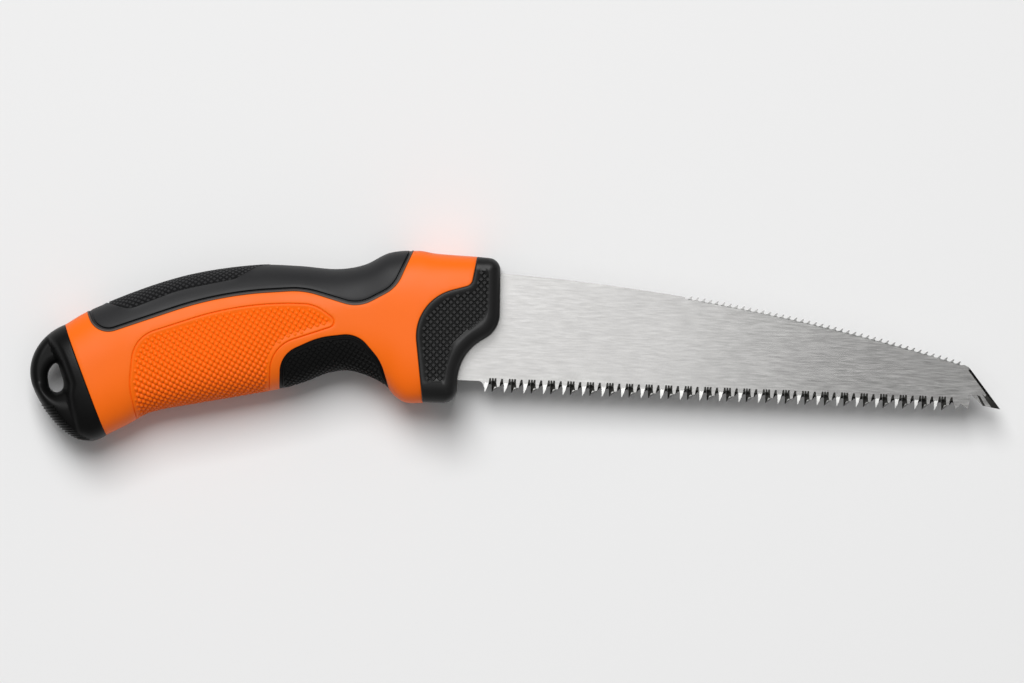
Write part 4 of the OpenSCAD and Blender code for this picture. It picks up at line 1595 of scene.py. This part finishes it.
        row = graph.out("GeometryNodeMeshLine", {"Count": value("Count"), "Offset": (0.0, 0.0, 0.0)})
        index = graph.out("GeometryNodeInputIndex")
        x = sum_of("ADD", value("Start"), sum_of("MULTIPLY", index, value("Pitch")))
        bent = sum_of("MULTIPLY", value("Bend"), x)
        y = sum_of("MULTIPLY", sum_of("ADD", value("Slope"), bent), x)
        steep = sum_of("ADD", value("Slope"), sum_of("MULTIPLY", bent, 2.0))
        place = graph.out("ShaderNodeCombineXYZ", {"X": x, "Y": y})
        sited = graph.out("ShaderNodeVectorMath", {0: place, 1: value("Corner")}, operation="ADD")
        laid = graph.out("GeometryNodeSetPosition", {"Geometry": row, "Position": sited})
        angle = graph.out("ShaderNodeMath", {0: steep}, operation="ARCTANGENT")
        turn = graph.out("ShaderNodeCombineXYZ", {"Z": angle})
        shape.finish_dressed(graph.out("GeometryNodeInstanceOnPoints", {
            "Points": laid, "Instance": value("Geometry"), "Rotation": turn}))
        sunk = self.height + self.fine_rise - self.fine_h
        corner = (np.array([0.0, sunk, 0.0]) + ORIGIN) * MM
        shape.apply(made, Count=count, Pitch=self.fine_pitch * MM, Start=self.plain_back * MM,
                    Slope=-self.fall, Bend=-self.drop / self.nose_x ** 2 / MM, Corner=corner.tolist(),
                    Finish=material)
        smoothed(made, self.sharp_deg)
        return made


# Fasteners


@dataclass
class Fasteners:
    """The hidden screws, washers, nuts and sleeves, which keep their solids."""

    nodes: tuple[str, ...] = ("tang_screws", "tang_washers", "tang_nuts", "tang_sleeves", "grip_screws")

    def dress(self, material: bpy.types.Material) -> None:
        """Give every fastener its steel."""
        for name in self.nodes:
            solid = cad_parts[name]
            solid.data.materials.clear()
            solid.data.materials.append(material)
            LOG.info("%s: kept solid in steel", name)


# Floor, light and camera


@dataclass
class Stage:
    """A pale floor, soft studio light from the saw's spine side and a camera straight above."""

    floor_size: float = 12.0
    floor_color: Color = (0.80, 0.80, 0.80)
    sky: float = 0.20
    tilt_deg: float = 2.334
    pixels_per_mm: float = 3.0
    image_width: int = 1024
    sensor: float = 36.0
    distance: float = 3.0
    centre: tuple[float, float] = (4.91, 17.07)

    def build(self) -> None:
        """Make the floor, the sky, the lamps and the camera."""
        self.floor()
        self.world()
        self.lamps()
        self.camera()

    def floor(self) -> None:
        """A plain pale floor under the saw."""
        half = self.floor_size / 2
        mesh = bpy.data.meshes.new("floor")
        corners = [(-half, -half, 0), (half, -half, 0), (half, half, 0), (-half, half, 0)]
        mesh.from_pydata(corners, [], [(0, 1, 2, 3)])
        made = linked("floor", mesh)
        material, graph = new_material("floor_paper")
        surfaced(graph, Base_Color=(*self.floor_color, 1.0), Roughness=0.9, Specular_IOR_Level=0.1)
        mesh.materials.append(material)

    def world(self) -> None:
        """An even sky."""
        world = bpy.data.worlds.new("studio")
        bpy.context.scene.world = world
        world.use_nodes = True
        world.node_tree.nodes.clear()
        graph = Graph(world.node_tree)
        lit = graph.out("ShaderNodeBackground", {"Color": (1.0, 1.0, 1.0, 1.0), "Strength": self.sky})
        graph.node("ShaderNodeOutputWorld", {"Surface": lit})

    def lamps(self) -> None:
        """A broad key from over the spine's side and a small soft panel straight above."""
        self.panel("key_panel", place=(-0.7, 2.2, 4.2), size=(2.0, 3.0), watts=222.0)
        self.panel("top_panel", place=(-0.03, 0.0, 0.6), size=(0.54, 0.24), watts=0.305)

    def panel(self, name: str, place: Corner, size: tuple[float, float], watts: float) -> None:
        """A soft panel aimed at the saw."""
        lamp = bpy.data.lights.new(name, "AREA")
        lamp.shape = "RECTANGLE"
        lamp.size, lamp.size_y = size
        lamp.energy = watts
        made = linked(name, lamp)
        made.location = place
        made.rotation_euler = (-Vector(place)).to_track_quat("-Z", "Y").to_euler()

    def camera(self) -> None:
        """A camera straight above, turned with the saw's slant in the frame."""
        lens = bpy.data.cameras.new("camera")
        width = self.image_width / self.pixels_per_mm * MM
        lens.sensor_width = self.sensor
        lens.lens = self.sensor * self.distance / width
        made = linked("camera", lens)
        x, y, z = (np.array([*self.centre, 0.0]) + ORIGIN) * MM
        made.location = (x, y, z + self.distance)
        made.rotation_euler = (0.0, 0.0, math.radians(self.tilt_deg))
        bpy.context.scene.camera = made
        bpy.context.scene.view_settings.view_transform = "Standard"


def main() -> None:
    """Build every sub-assembly in turn and set the stage."""
    logging.basicConfig(level=logging.INFO, format="%(name)s: %(message)s")
    wardrobe, form, knurl = Wardrobe(), HandleForm(), Knurl()
    back, palm, finger = back_grip(form), palm_grip(form), finger_grip(form)
    guard_line = form.trace(((GUARD_REAR[0][0], PAST, 0), *GUARD_REAR, (GUARD_REAR[-1][0], -PAST, 0),
                             (PAST, -PAST, 0), (PAST, PAST, 0)))
    shells = Shells(form, wardrobe)
    shells.build(shells.border(back.run, guard_line, finger.run, palm.run))
    # The back grip's lip material is a lighter colour that paints a highlight on the lip.
    back.build(knurl, wardrobe.back.material(), wardrobe.lip.material())
    palm.build(knurl, wardrobe.palm.material())
    finger.build(knurl, wardrobe.finger.material())
    FrontGuard().build(wardrobe.guard.material(), knurl)
    ButtCap().build(wardrobe.cap.material())
    Blade().build(wardrobe)
    Fasteners().dress(wardrobe.fastener.material())
    Stage().build()


if __name__ == "__main__":
    main()
